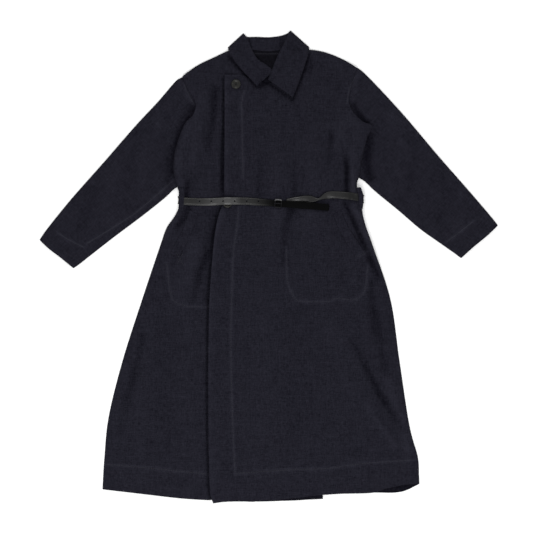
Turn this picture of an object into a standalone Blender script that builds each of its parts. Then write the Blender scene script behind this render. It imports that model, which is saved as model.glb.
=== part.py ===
"""Belted wrap coat, laid flat on its back with the front up.

Metres, +Z up. The tables are in millimetres from the middle of the laid-out coat:
x to its left sleeve, y to its collar.
"""

import math
from collections import namedtuple

import bmesh
import bpy
import numpy as np
from mathutils import Vector
from mathutils.bvhtree import BVHTree

MM = 0.001
DOWN = Vector((0, 0, -1))

# Walls, and the clearance between pieces at a seam or between layers.
CLOTH = 1.6 * MM
COLLAR_CLOTH = 2.0 * MM
FACING_CLOTH = 1.0 * MM
POCKET_CLOTH = 1.0 * MM
WELT_CLOTH = 1.2 * MM
LOOP_CLOTH = 1.2 * MM
STRAP = 2.0 * MM
SEAM = 0.3 * MM

# A folded edge turns down to what it lies on. Steps are the rows of points across the turn,
# and the next row is a few depths away.
TURN_STEPS = (0.0, 2.0 * MM, 6.0 * MM)
TURN_DEPTH = TURN_STEPS[-1]
TURN_HEIGHT = 6.5 * MM
TURN_REACH = 22 * MM
TURN_STAND = 0.8 * MM
TURN_CLEAR = 1.8
FREE_STEPS = (0.0,)
BACK_INSET = 3.0 * MM
UNDER_SLEEVE_INSET = 4.0 * MM
UNDER_SLEEVE_SEAM = 2.0

# Heights of the puffed cloth over what it lies on.
FRONT_RISE = 3.0 * MM
SLEEVE_RISE = 3.5 * MM
BELT_PINCH = 26 * MM
ARMHOLE_PINCH = 45 * MM

# The belt and its holes.
BELT_Y = 168 * MM
BELT_WIDTH = 18.5 * MM
HOLE_RADIUS = 2.0 * MM
HOLE_PITCH = 29.4 * MM
HOLE_COUNT = 6
FIRST_HOLE_X = -172 * MM
HOLE_Y = 164 * MM
HOLE_SIDES = 10
PUNCH_DEPTH = 100 * MM

# The back rises over the strap and over the collar where they run behind it.
BELT_BUMP = STRAP + 4 * SEAM
BELT_BUMP_FLAT = 24 * MM
BELT_BUMP_END = 60 * MM
BELT_BUMP_SIDE = 238 * MM
BELT_BUMP_SIDE_END = 262 * MM
NECK_BUMP = COLLAR_CLOTH + 2 * SEAM
NECK_BUMP_START = 440 * MM
NECK_BUMP_FULL = 492 * MM
NECK_BUMP_FLAT = 135 * MM
NECK_BUMP_END = 195 * MM

# Buckle and buttons.
FRAME_LENGTH = 19 * MM
FRAME_WIDTH = 26 * MM
FRAME_BAR = 3.2 * MM
FRAME_HEIGHT = 2.6 * MM
FRAME_CORNER = 4 * MM
FRAME_BEVEL = 0.6 * MM
FRAME_X = 24 * MM
FRAME_Y = 160 * MM
FRAME_TURN = math.radians(-4)
RIGID_SAMPLES = 12
PRONG_WIDTH = 2.4 * MM
PRONG_HEIGHT = 1.8 * MM
BUTTON_RADIUS = 11.6 * MM
BUTTON_HEIGHT = 4.2 * MM
BUTTON_SIDES = 28
BUTTON_HOLE_RADIUS = 1.1 * MM
BUTTON_HOLE_OFFSET = 2.3 * MM
BUTTON_HOLE_SIDES = 8
BUTTON_TOP = (-81 * MM, 457 * MM)
BUTTON_WAIST = (-102 * MM, 157 * MM)

# One row a section across a panel, from its top edge to its lower edge: both ends, how far each end
# is turned down (1 is a folded side, 0 a flat edge), and the rows of points to the next section.
Section = namedtuple("Section", "left_x left_y left_turn right_x right_y right_turn rows")
EdgePoint = namedtuple("EdgePoint", "x y turn")
Fold = namedtuple("Fold", "start_x start_y end_x end_y half_width height")
# One row a line across a strip that wraps round the coat. Share is 1 on top of the coat and 0 under it.
Ruling = namedtuple("Ruling", "inner_x inner_y outer_x outer_y share inner_lift outer_lift")
StrapPoint = namedtuple("StrapPoint", "x y share lift width_share tilt rows")

UNDER_FRONT = (
    Section(-216, 478, 0.0, 39, 458, 0, 2),
    Section(-201, 442, 0.0, 41, 428, 0, 2),
    Section(-182, 408, 0.0, 44, 392, 0, 3),
    Section(-211, 350, 0.6, 51, 342, 0, 3),
    Section(-235, 280, 1.0, 61, 272, 0, 2),
    Section(-237, 238, 1.0, 66, 238, 0, 3),
    Section(-228, 200, 1.0, 69, 200, 0, 3),
    Section(-219, 166, 1.0, 71, 164, 0, 3),
    Section(-234, 128, 1.0, 74, 128, 0, 2),
    Section(-255, 97, 1.0, 76, 97, 0, 2),
    Section(-271, 52, 1.0, 79, 50, 0, 3),
    Section(-316, -82, 1.0, 89, -90, 0, 3),
    Section(-364, -232, 1.0, 101, -248, 0, 3),
    Section(-399, -372, 1.0, 119, -402, 0, 2),
    Section(-410, -474, 1.0, 128, -490, 0, 2),
    Section(-415, -555, 1.0, 136, -579, 0, 1),
)
UNDER_TOP = (
    EdgePoint(-216, 478, 0),
    EdgePoint(-179, 503, 1),
    EdgePoint(-136, 524, 1),
    EdgePoint(-94, 542, 1),
    EdgePoint(-71, 534, 0),
    EdgePoint(-46, 512, 0),
    EdgePoint(-16, 488, 0),
    EdgePoint(39, 458, 0),
)
UNDER_HEM = (
    EdgePoint(-415, -555, 0),
    EdgePoint(-304, -568, 0),
    EdgePoint(-204, -579, 0),
    EdgePoint(-96, -584, 0),
    EdgePoint(-9, -586, 0),
    EdgePoint(136, -579, 0),
)
UNDER_FOLDS = (
    Fold(-136, 440, -157, 295, 12, -3),
    Fold(-172, 400, -190, 300, 18, 2),
    Fold(-201, 214, -204, 178, 8, -4),
    Fold(-214, 148, -231, 98, 8, -4),
    Fold(-228, 140, -250, 80, 10, 4),
    Fold(-148, 52, -189, -90, 12, -4),
    Fold(-195, 30, -230, -100, 20, 3),
    Fold(-321, -145, -366, -358, 14, -4),
)

OVER_FRONT = (
    Section(-111, 479, 0, 222, 500, 0.0, 2),
    Section(-111, 448, 0, 206, 452, 0.0, 2),
    Section(-111, 415, 0, 202, 410, 0.0, 3),
    Section(-111, 342, 0, 253, 338, 0.6, 3),
    Section(-114, 272, 0, 236, 272, 1.0, 2),
    Section(-116, 238, 0, 226, 230, 1.0, 3),
    Section(-118, 202, 0, 221, 202, 1.0, 3),
    Section(-117, 166, 0, 231, 168, 1.0, 3),
    Section(-127, 128, 0, 236, 130, 1.0, 2),
    Section(-133, 97, 0, 245, 97, 1.0, 2),
    Section(-140, 52, 0, 261, 52, 1.0, 3),
    Section(-148, -82, 0, 305, -82, 1.0, 3),
    Section(-151, -232, 0, 327, -232, 1.0, 3),
    Section(-150, -395, 0, 352, -395, 1.0, 2),
    Section(-147, -485, 0, 373, -474, 1.0, 2),
    Section(-138, -590, 0, 377, -544, 1.0, 1),
)
OVER_TOP = (
    EdgePoint(-111, 479, 0),
    EdgePoint(-64, 479, 0),
    EdgePoint(-16, 462, 0),
    EdgePoint(6, 462, 0),
    EdgePoint(26, 490, 0),
    EdgePoint(49, 520, 0),
    EdgePoint(86, 542, 1),
    EdgePoint(136, 538, 1),
    EdgePoint(188, 518, 1),
    EdgePoint(222, 500, 0),
)
OVER_HEM = (
    EdgePoint(-138, -590, 0),
    EdgePoint(-100, -585, 0),
    EdgePoint(0, -583, 0),
    EdgePoint(141, -568, 0),
    EdgePoint(270, -566, 0),
    EdgePoint(330, -554, 0),
    EdgePoint(377, -544, 0),
)
OVER_FOLDS = (
    Fold(-111, 470, -118, 202, 11, 2.5),
    Fold(-127, 128, -146, -60, 13, 5),
    Fold(-148, -82, -140, -585, 11, 2),
    Fold(206, 300, 210, 190, 13, 8),
    Fold(218, 148, 258, 38, 14, 9),
    Fold(258, 38, 288, -45, 16, 5),
    Fold(176, 300, 194, 168, 9, -4),
    Fold(194, 160, 246, 35, 9, -4),
    Fold(-90, 206, 170, 208, 15, 2.5),
    Fold(-105, 128, 150, 124, 14, 2),
    Fold(-24, 292, -24, 185, 11, -3),
    Fold(64, 290, 64, 185, 11, -3),
    Fold(156, 328, 156, 242, 13, -3),
    Fold(20, 300, 20, 195, 15, 2),
    Fold(110, 300, 110, 195, 15, 2),
    Fold(64, 148, 39, 55, 14, -3),
    Fold(216, 402, 246, 362, 8, -3),
    Fold(229, -180, 319, -395, 15, -4),
    Fold(269, -82, 305, -270, 12, -3),
    Fold(241, -348, 319, -445, 18, 4),
    Fold(154, -132, 204, -332, 28, 3),
)

# The back shares the side lines of the fronts below the armholes.
BACK_ARMHOLES = (
    Section(-212, 472, 0, 217, 490, 0, 2),
    Section(-200, 442, 0, 206, 450, 0, 2),
    Section(-190, 408, 0, 203, 410, 0, 2),
    Section(-200, 350, 0, 220, 338, 0, 2),
    Section(-216, 280, 0, 223, 272, 0, 2),
    Section(-225, 222, 0, 219, 220, 0, 2),
)
BACK_TOP = (
    EdgePoint(-212, 472, 0),
    EdgePoint(-179, 497, 0),
    EdgePoint(-136, 519, 0),
    EdgePoint(-94, 536, 0),
    EdgePoint(-60, 535, 0),
    EdgePoint(-1, 533, 0),
    EdgePoint(54, 534, 0),
    EdgePoint(86, 536, 0),
    EdgePoint(136, 532, 0),
    EdgePoint(186, 512, 0),
    EdgePoint(217, 490, 0),
)
BACK_HEM = (
    EdgePoint(-411, -552, 0),
    EdgePoint(-271, -565, 0),
    EdgePoint(-1, -573, 0),
    EdgePoint(229, -564, 0),
    EdgePoint(325, -563, 0),
    EdgePoint(373, -544, 0),
)

# Sleeve sections run from the armhole to the cuff, outer edge first.
SLEEVE_LEFT = (
    Section(209, 499, 0.0, 212, 216, 0.0, 3),
    Section(248, 477, 1.0, 238, 212, 1.0, 2),
    Section(292, 430, 1.0, 269, 187, 1.0, 3),
    Section(348, 368, 1.0, 324, 142, 1.0, 3),
    Section(423, 279, 1.0, 379, 95, 1.0, 3),
    Section(502, 189, 1.0, 431, 58, 1.0, 2),
    Section(555, 127, 1.0, 464, 35, 1.0, 2),
    Section(573, 104, 1.0, 481, 22, 1.0, 1),
)
SLEEVE_LEFT_ARMHOLE = (
    EdgePoint(209, 499, 0),
    EdgePoint(196, 450, 0),
    EdgePoint(192, 405, 0),
    EdgePoint(208, 350, 0),
    EdgePoint(214, 290, 0),
    EdgePoint(212, 216, 0),
)
SLEEVE_LEFT_CUFF = (
    EdgePoint(573, 104, 0),
    EdgePoint(547, 79, 0),
    EdgePoint(512, 50, 0),
    EdgePoint(481, 22, 0),
)
SLEEVE_LEFT_FOLDS = (
    Fold(259, 318, 256, 222, 12, -4),
    Fold(272, 340, 300, 290, 10, -3),
    Fold(330, 330, 330, 190, 16, -2),
    Fold(420, 240, 440, 120, 14, -2),
)
SLEEVE_RIGHT = (
    Section(-204, 479, 0.0, -217, 204, 0.0, 3),
    Section(-234, 464, 1.0, -240, 191, 1.0, 2),
    Section(-277, 412, 1.0, -261, 171, 1.0, 3),
    Section(-333, 352, 1.0, -319, 125, 1.0, 3),
    Section(-413, 260, 1.0, -387, 74, 1.0, 3),
    Section(-491, 172, 1.0, -437, 35, 1.0, 2),
    Section(-551, 98, 1.0, -470, 9, 1.0, 2),
    Section(-572, 68, 1.0, -487, -3, 1.0, 1),
)
SLEEVE_RIGHT_ARMHOLE = (
    EdgePoint(-204, 479, 0),
    EdgePoint(-190, 440, 0),
    EdgePoint(-174, 404, 0),
    EdgePoint(-190, 350, 0),
    EdgePoint(-208, 285, 0),
    EdgePoint(-217, 204, 0),
)
SLEEVE_RIGHT_CUFF = (
    EdgePoint(-572, 68, 0),
    EdgePoint(-549, 46, 0),
    EdgePoint(-519, 23, 0),
    EdgePoint(-487, -3, 0),
)
SLEEVE_RIGHT_FOLDS = (
    Fold(-246, 330, -262, 240, 12, -4),
    Fold(-290, 330, -345, 220, 14, -2),
    Fold(-420, 190, -470, 110, 14, -2),
)

NECK_FACING = (
    Section(-62, 531, 0, 58, 532, 0, 2),
    Section(-64, 505, 0, 62, 505, 0, 2),
    Section(-50, 470, 0, 55, 470, 0, 1),
)
NECK_FACING_TOP = (
    EdgePoint(-62, 531, 0),
    EdgePoint(-1, 529, 0),
    EdgePoint(58, 532, 0),
)
NECK_FACING_FOOT = (
    EdgePoint(-50, 470, 0),
    EdgePoint(0, 462, 0),
    EdgePoint(55, 470, 0),
)

POCKET_BAG_LEFT = (
    Section(46, 130, 0, 170, 128, 0, 3),
    Section(44, 20, 0, 232, 20, 0, 2),
    Section(46, -45, 0, 240, -45, 0, 2),
    Section(62, -80, 0, 226, -80, 0, 1),
    Section(90, -86, 0, 205, -84, 0, 1),
)
POCKET_BAG_RIGHT = (
    Section(-190, 126, 0, -100, 128, 0, 3),
    Section(-246, 20, 0, -90, 20, 0, 2),
    Section(-246, -60, 0, -90, -60, 0, 2),
    Section(-232, -88, 0, -96, -94, 0, 1),
    Section(-205, -98, 0, -120, -100, 0, 1),
)
POCKET_WELT_LEFT = (
    Section(161, 132, 0, 181, 142, 0, 2),
    Section(178, 88, 0, 200, 98, 0, 2),
    Section(216, 24, 0, 240, 36, 0, 1),
)
POCKET_WELT_RIGHT = (
    Section(-196, 142, 0, -176, 132, 0, 2),
    Section(-213, 96, 0, -191, 86, 0, 2),
    Section(-246, 34, 0, -223, 22, 0, 1),
)

COLLAR = (
    Ruling(8, 496, -29, 451, 1, 3, 1),
    Ruling(-8, 507, -47, 470, 1, 3, 1),
    Ruling(-25, 518, -64, 488, 1, 3, 1),
    Ruling(-36, 534, -82, 510, 1, 3, 1),
    Ruling(-45, 554, -95, 529, 1, 2, 1),
    Ruling(-53, 571, -100, 540, 1, 1, 1),
    Ruling(-60, 580, -101, 546, 0.8, 0, 0),
    Ruling(-63, 584, -102, 548, 0.45, 0, 0),
    Ruling(-59, 580, -99, 544, 0.04, 0, 0),
    Ruling(-52, 575, -93, 535, 0, 0, 0),
    Ruling(-27, 575, -58, 518, 0, 0, 0),
    Ruling(0, 574, 0, 515, 0, 0, 0),
    Ruling(27, 577, 60, 518, 0, 0, 0),
    Ruling(46, 583, 94, 538, 0, 0, 0),
    Ruling(52, 588, 100, 547, 0.04, 0, 0),
    Ruling(55, 591, 102, 549, 0.45, 0, 0),
    Ruling(52, 586, 101, 544, 0.8, 0, 0),
    Ruling(44, 570, 99, 530, 1, 1, 1),
    Ruling(32, 546, 95, 508, 1, 3, 1),
    Ruling(20, 523, 89, 485, 1, 3, 1),
    Ruling(11, 500, 80, 462, 1, 3, 1),
    Ruling(4, 482, 70, 441, 1, 3, 1),
    Ruling(-2, 465, 60, 422, 1, 3, 1),
)
COLLAR_COLUMNS = 4

STAND = (
    Section(-49, 573, 0, 44, 578, 0, 2),
    Section(-48, 555, 0, 44, 557, 0, 2),
    Section(-48, 539, 0, 44, 540, 0, 1),
)
STAND_TOP = (
    EdgePoint(-49, 573, 0),
    EdgePoint(0, 572, 0),
    EdgePoint(44, 578, 0),
)
STAND_FOOT = (
    EdgePoint(-48, 539, 0),
    EdgePoint(0, 537, 0),
    EdgePoint(44, 540, 0),
)
STAND_RISE = 2.0 * MM

# The strap from its tail tip, through the buckle, across the front, round the back, and to the buckle again.
BELT = (
    StrapPoint(156, 147, 1, 0.6, 0.30, 0, 1),
    StrapPoint(150, 148, 1, 0.9, 0.85, 0, 1),
    StrapPoint(143, 149, 1, 1.4, 1.0, 0, 2),
    StrapPoint(118, 152, 1, 4.0, 1.0, 0, 2),
    StrapPoint(79, 156, 1, 4.0, 1.0, 0, 2),
    StrapPoint(50, 158, 1, 3.8, 1.0, 0, 1),
    StrapPoint(36, 159, 1, 0.3, 1.0, 0, 3),
    StrapPoint(-26, 163, 1, 0.0, 1.0, 0, 2),
    StrapPoint(-59, 164, 1, 0.0, 1.0, 0, 3),
    StrapPoint(-109, 164, 1, 0.0, 1.0, 0, 3),
    StrapPoint(-161, 162, 1, 0.0, 1.0, 0, 4),
    StrapPoint(-209, 164, 1, 0.0, 1.0, 0, 1),
    StrapPoint(-217, 165, 1, 0.0, 1.0, 0, 1),
    StrapPoint(-223, 166, 0.8, 0.0, 1.0, 0, 1),
    StrapPoint(-225, 167, 0.45, 0.0, 1.0, 0, 1),
    StrapPoint(-223, 168, 0.1, 0.0, 1.0, 0, 1),
    StrapPoint(-218, 168, 0, 0.0, 1.0, 0, 4),
    StrapPoint(230, 168, 0, 0.0, 1.0, 0, 1),
    StrapPoint(235, 169, 0.1, 0.0, 1.0, 0, 1),
    StrapPoint(237, 170, 0.45, 0.0, 1.0, 0, 1),
    StrapPoint(235, 171, 0.8, 0.0, 1.0, 0, 1),
    StrapPoint(229, 172, 1, 0.0, 1.0, 0, 2),
    StrapPoint(189, 179, 1, 0.0, 1.0, 0, 2),
    StrapPoint(149, 178, 1, 1.0, 1.0, 4, 2),
    StrapPoint(129, 173, 1, 1.4, 1.0, 8, 2),
    StrapPoint(109, 168, 1, 1.0, 1.0, 0, 2),
    StrapPoint(79, 166, 1, 1.4, 1.0, 8, 2),
    StrapPoint(52, 162, 1, 0.6, 1.0, 2, 1),
    StrapPoint(46, 161, 1, 0.4, 1.0, 0, 1),
)
LOOP_LEFT = (
    StrapPoint(221, 203, 1, 0.4, 1.0, 0, 3),
    StrapPoint(222, 168, 1, 0.4, 1.0, 0, 3),
    StrapPoint(225, 134, 1, 0.8, 1.0, 0, 1),
)
LOOP_RIGHT = (
    StrapPoint(-213, 198, 1, 0.0, 1.0, 0, 3),
    StrapPoint(-210, 166, 1, 0.0, 1.0, 0, 3),
    StrapPoint(-213, 136, 1, 0.0, 1.0, 0, 1),
)
LOOP_WIDTH = 10 * MM
# Half the step along a strap's middle line that gives its direction, and the least run along x (in mm)
# of that step for a strap that isn't turning over an edge.
STRAP_STEP = 0.1
STRAP_RUN = 0.3

# The button's half section, as shares of its radius and height, from the middle of its foot
# round its rim to the middle of its dished face.
ProfilePoint = namedtuple("ProfilePoint", "radius height")
BUTTON_PROFILE = (
    ProfilePoint(0.0, 0.0),
    ProfilePoint(0.8, 0.0),
    ProfilePoint(1.0, 0.4),
    ProfilePoint(1.0, 0.75),
    ProfilePoint(0.91, 1.0),
    ProfilePoint(0.78, 1.0),
    ProfilePoint(0.62, 0.67),
    ProfilePoint(0.0, 0.67),
)

# Columns of cells across each panel, between its turned edges.
FRONT_LEFT_COLUMNS = 21
FRONT_RIGHT_COLUMNS = 15
BACK_COLUMNS = 12
SLEEVE_COLUMNS = 7
UNDER_SLEEVE_COLUMNS = 9
NECK_FACING_COLUMNS = 5
POCKET_BAG_COLUMNS = 5
POCKET_WELT_COLUMNS = 2
STAND_COLUMNS = 5
STRAP_COLUMNS = 1
# The first section of the fronts whose ends the back shares.
SIDE_START = 6
# Sections over which the shape of the top edge, and of the hem, fades out.
TOP_FADE = 3.5
HEM_FADE = 2.0

COLOURS = {
    "cloth": ((0.016, 0.015, 0.024), 0.9, 0.0),
    "lining": ((0.006, 0.006, 0.010), 0.6, 0.0),
    "leather": ((0.035, 0.035, 0.037), 0.35, 0.0),
    "metal": ((0.45, 0.44, 0.42), 0.25, 1.0),
    "horn": ((0.05, 0.045, 0.04), 0.3, 0.0),
}

for old in list(bpy.data.objects):
    bpy.data.objects.remove(old)

coat = bpy.data.collections.new("belted_coat")
cutters = bpy.data.collections.new("belted_coat_cutters")
for group in (coat, cutters):
    bpy.context.scene.collection.children.link(group)
origin = bpy.data.objects.new("coat_origin", None)
coat.objects.link(origin)
nodes = {}


def smooth_step(value, low, high):
    """0 below low, 1 above high, with a soft start and end."""
    t = min(1, max(0, (value - low) / (high - low)))
    return t * t * (3 - 2 * t)


def ground(x, y):
    """Height of what the coat lies on: level, but for the strap and the collar behind its back."""
    strap = 1 - smooth_step(abs(y - BELT_Y), BELT_BUMP_FLAT, BELT_BUMP_END)
    strap *= 1 - smooth_step(abs(x), BELT_BUMP_SIDE, BELT_BUMP_SIDE_END)
    neck = smooth_step(y, NECK_BUMP_START, NECK_BUMP_FULL)
    neck *= 1 - smooth_step(abs(x), NECK_BUMP_FLAT, NECK_BUMP_END)
    return max(BELT_BUMP * strap, NECK_BUMP * neck)


def spline(points, t):
    """The smooth curve through the points, at t points along it."""
    k = min(int(t), len(points) - 2)
    f = t - k
    a, b = points[k], points[k + 1]
    before = points[k - 1] if k > 0 else a * 2 - b
    after = points[k + 2] if k + 2 < len(points) else b * 2 - a
    slope_a, slope_b = (b - before) / 2, (after - a) / 2
    f2, f3 = f * f, f * f * f
    return (
        a * (2 * f3 - 3 * f2 + 1)
        + slope_a * (f3 - 2 * f2 + f)
        + b * (3 * f2 - 2 * f3)
        + slope_b * (f3 - f2)
    )


def edge_curve(table, pieces=6):
    """A function from 0 to 1 along an edge table, even in length, giving (x, y, turn)."""
    points = [Vector((p.x * MM, p.y * MM, p.turn)) for p in table]
    count = (len(points) - 1) * pieces
    dense = [spline(points, i / pieces) for i in range(count + 1)]
    lengths = [0.0]
    for a, b in zip(dense, dense[1:]):
        lengths.append(lengths[-1] + (b - a).xy.length)

    def at(share):
        want = share * lengths[-1]
        k = next((i for i in range(1, count) if lengths[i] >= want), count)
        step = lengths[k] - lengths[k - 1]
        return dense[k - 1].lerp(dense[k], (want - lengths[k - 1]) / step)

    return at


def straight(sections, end):
    """An edge table straight across the first (0) or last (-1) section."""
    s = sections[end]
    return EdgePoint(s.left_x, s.left_y, 0), EdgePoint(s.right_x, s.right_y, 0)


# A point of a panel's plan: its place, and its distance from and turn at the left, right and top edges.
PlanPoint = namedtuple("PlanPoint", "place left left_turn right right_turn top top_turn")


def plan(sections, top, hem, columns, left_steps, right_steps, top_steps):
    """Rows of plan points through the sections, with the top and lower edges bent to their curves."""
    left = [Vector((s.left_x * MM, s.left_y * MM, s.left_turn)) for s in sections]
    right = [Vector((s.right_x * MM, s.right_y * MM, s.right_turn)) for s in sections]
    top_at, hem_at = edge_curve(top), edge_curve(hem)
    last = len(sections) - 1
    depth = (left[1] - left[0]).xy.length
    levels = [step / depth for step in top_steps]
    for k, section in enumerate(sections[:-1]):
        levels += [k + r / section.rows for r in range(section.rows)]
    levels = sorted({level for level in levels if level <= levels[len(top_steps) - 1]} | {
        level for level in levels if level * depth > TURN_CLEAR * top_steps[-1]
    }) + [last]
    rows = []
    for level in levels:
        start, end = spline(left, level), spline(right, level)
        width = (end - start).xy.length
        first, final = left_steps[-1] / width, 1 - right_steps[-1] / width
        shares = [step / width for step in left_steps[:-1]]
        shares += [first + (final - first) * c / columns for c in range(columns + 1)]
        shares += [1 - step / width for step in reversed(right_steps[:-1])]
        top_share = max(0, 1 - level / TOP_FADE) ** 2
        hem_share = max(0, 1 - (last - level) / HEM_FADE) ** 2
        row = []
        for share in shares:
            edge = top_at(share)
            place = start.lerp(end, share).xy
            place += (edge - top_at(0).lerp(top_at(1), share)).xy * top_share
            place += (hem_at(share) - hem_at(0).lerp(hem_at(1), share)).xy * hem_share
            row.append(
                PlanPoint(
                    place,
                    share * width,
                    min(1, max(0, start.z)),
                    (1 - share) * width,
                    min(1, max(0, end.z)),
                    level * depth,
                    min(1, max(0, edge.z)),
                )
            )
        rows.append(row)
    return rows


class Layers:
    """The pieces that a new piece lies on."""

    def __init__(self, names):
        graph = bpy.context.evaluated_depsgraph_get()
        self.trees, tops = [], []
        for name in names:
            mesh = nodes[name].evaluated_get(graph).to_mesh()
            corners = [nodes[name].matrix_basis @ vertex.co for vertex in mesh.vertices]
            faces = [face.vertices[:] for face in mesh.polygons]
            self.trees.append(BVHTree.FromPolygons(corners, faces))
            tops.append(np.array(corners))
        self.points = np.concatenate(tops)

    def height(self, x, y):
        """The top of the layers at one place."""
        best = ground(x, y)
        for tree in self.trees:
            hit = tree.ray_cast(Vector((x, y, 1)), DOWN)[0]
            if hit is not None:
                best = max(best, hit.z)
        return best

    def highest(self, places, samples=4):
        """The highest top of the layers in the box round some places."""
        xs, ys = [p[0] for p in places], [p[1] for p in places]
        low, high = Vector((min(xs), min(ys))), Vector((max(xs), max(ys)))
        p = self.points
        inside_x = (p[:, 0] >= low.x) & (p[:, 0] <= high.x)
        inside = inside_x & (p[:, 1] >= low.y) & (p[:, 1] <= high.y)
        best = p[inside, 2].max() if inside.any() else 0
        for i in range(samples + 1):
            for j in range(samples + 1):
                x = low.x + (high.x - low.x) * i / samples
                y = low.y + (high.y - low.y) * j / samples
                best = max(best, self.height(x, y))
        return best


def neighbours(rows, i, j):
    """The places of a grid point and of those round it."""
    near = []
    for row in rows[max(0, i - 1) : i + 2]:
        near += row[max(0, j - 1) : j + 2]
    return near


def fold_height(folds, place):
    """The folds' heights at a place: a soft ridge or trough along each line of the table."""
    total = 0
    for fold in folds:
        start = Vector((fold.start_x, fold.start_y)) * MM
        line = Vector((fold.end_x, fold.end_y)) * MM - start
        t = min(1, max(0, (place - start).dot(line) / line.length_squared))
        away = (place - start - line * t).length / (fold.half_width * MM)
        total += fold.height * MM * math.exp(-away * away)
    return total


def turn(distance, amount):
    """The share of its height that is left at a distance from a turned edge."""
    inward = max(0, 1 - distance / TURN_DEPTH)
    return 1 - amount * (1 - math.sqrt(1 - inward * inward))


def sheet(name, grid, wall, finish, up=True):
    """One piece of cloth or leather: the grid is its outer face, and the wall is inside it."""
    bm = bmesh.new()
    rows = [[bm.verts.new(p) for p in row] for row in grid]
    for row, following in zip(rows, rows[1:]):
        for a, b, c, d in zip(row, row[1:], following[1:], following):
            bm.faces.new((a, b, c, d))
    bm.normal_update()
    first = list(bm.faces)[0]
    if (first.normal.z > 0) != up:
        bmesh.ops.reverse_faces(bm, faces=bm.faces[:])
    node = add_node(name, bm, finish)
    solidify = node.modifiers.new("wall", "SOLIDIFY")
    solidify.thickness = wall
    solidify.offset = -1
    solidify.use_even_offset = True
    bpy.context.view_layer.update()
    return node


def add_node(name, bm, finish):
    """A named object from a mesh, with its own material."""
    mesh = bpy.data.meshes.new(name)
    bm.to_mesh(mesh)
    bm.free()
    node = bpy.data.objects.new(name, mesh)
    node.parent = origin
    coat.objects.link(node)
    colour, roughness, metallic = COLOURS[finish]
    material = bpy.data.materials.new(name)
    material.use_nodes = True
    shader = material.node_tree.nodes["Principled BSDF"]
    shader.inputs["Base Color"].default_value = (*colour, 1)
    shader.inputs["Roughness"].default_value = roughness
    shader.inputs["Metallic"].default_value = metallic
    mesh.materials.append(material)
    nodes[name] = node
    return node


def panel(name, sections, top, hem, columns, below, wall=CLOTH, finish="cloth", folds=(), rise=0.0,
          steps=(FREE_STEPS, FREE_STEPS, FREE_STEPS), armhole_pinch=False):
    """A panel on the layers below it, puffed by its rise and folds, turned down at its folded edges."""
    points = plan(sections, top, hem, columns, *steps)
    places = [[p.place for p in row] for row in points]
    layers = Layers(below)
    grid = []
    for i, row in enumerate(points):
        heights = []
        for j, p in enumerate(row):
            lying = layers.highest(neighbours(places, i, j)) + SEAM + wall
            puff = rise
            puff *= 1 - math.exp(-(((p.place.y - BELT_Y) / BELT_PINCH) ** 2))
            if armhole_pinch:
                puff *= smooth_step(p.top, 0, ARMHOLE_PINCH)
            puff = max(0, puff + fold_height(folds, p.place))
            for distance, amount in ((p.left, p.left_turn), (p.right, p.right_turn), (p.top, p.top_turn)):
                inward = max(0, distance - TURN_DEPTH) / TURN_REACH
                edge = ground(*p.place) + TURN_HEIGHT - lying
                puff = max(puff, amount * edge * math.exp(-inward * inward))
            share = turn(p.left, p.left_turn) * turn(p.right, p.right_turn)
            share *= turn(p.top, p.top_turn)
            edge_line = [places[k][j] for k in range(max(0, i - 1), min(len(places), i + 2))]
            edge_line += [a.lerp(b, 0.5) for a, b in zip(edge_line, edge_line[1:])]
            if p.top < TURN_DEPTH:
                edge_line = [p.place]
            low = max(layers.height(*place) for place in edge_line) + SEAM + TURN_STAND
            full = lying + puff
            heights.append(full if share == 1 else min(full, low + (full - low) * share))
        grid.append([Vector((*p.place, z)) for p, z in zip(row, heights)])
    return sheet(name, grid, wall, finish)


def flat_panel(name, sections, top, hem, columns):
    """A panel whose underside lies on the ground."""
    points = plan(sections, top, hem, columns, FREE_STEPS, FREE_STEPS, FREE_STEPS)
    grid = [[Vector((*p.place, ground(*p.place))) for p in row] for row in points]
    return sheet(name, grid, CLOTH, "cloth", up=False)


def moved_in(section, inset, left_turn=0, right_turn=0):
    """A section with both ends moved in, as for a layer inside a turned edge."""
    start = Vector((section.left_x, section.left_y))
    end = Vector((section.right_x, section.right_y))
    step = (end - start).normalized() * inset / MM
    start, end = start + step, end - step
    return section._replace(
        left_x=start.x, left_y=start.y, left_turn=left_turn, right_x=end.x, right_y=end.y, right_turn=right_turn
    )


def between(table, sections, end):
    """An edge table with its ends moved to a section's own ends."""
    first, last = straight(sections, end)
    return (first, *table[1:-1], last)


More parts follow.
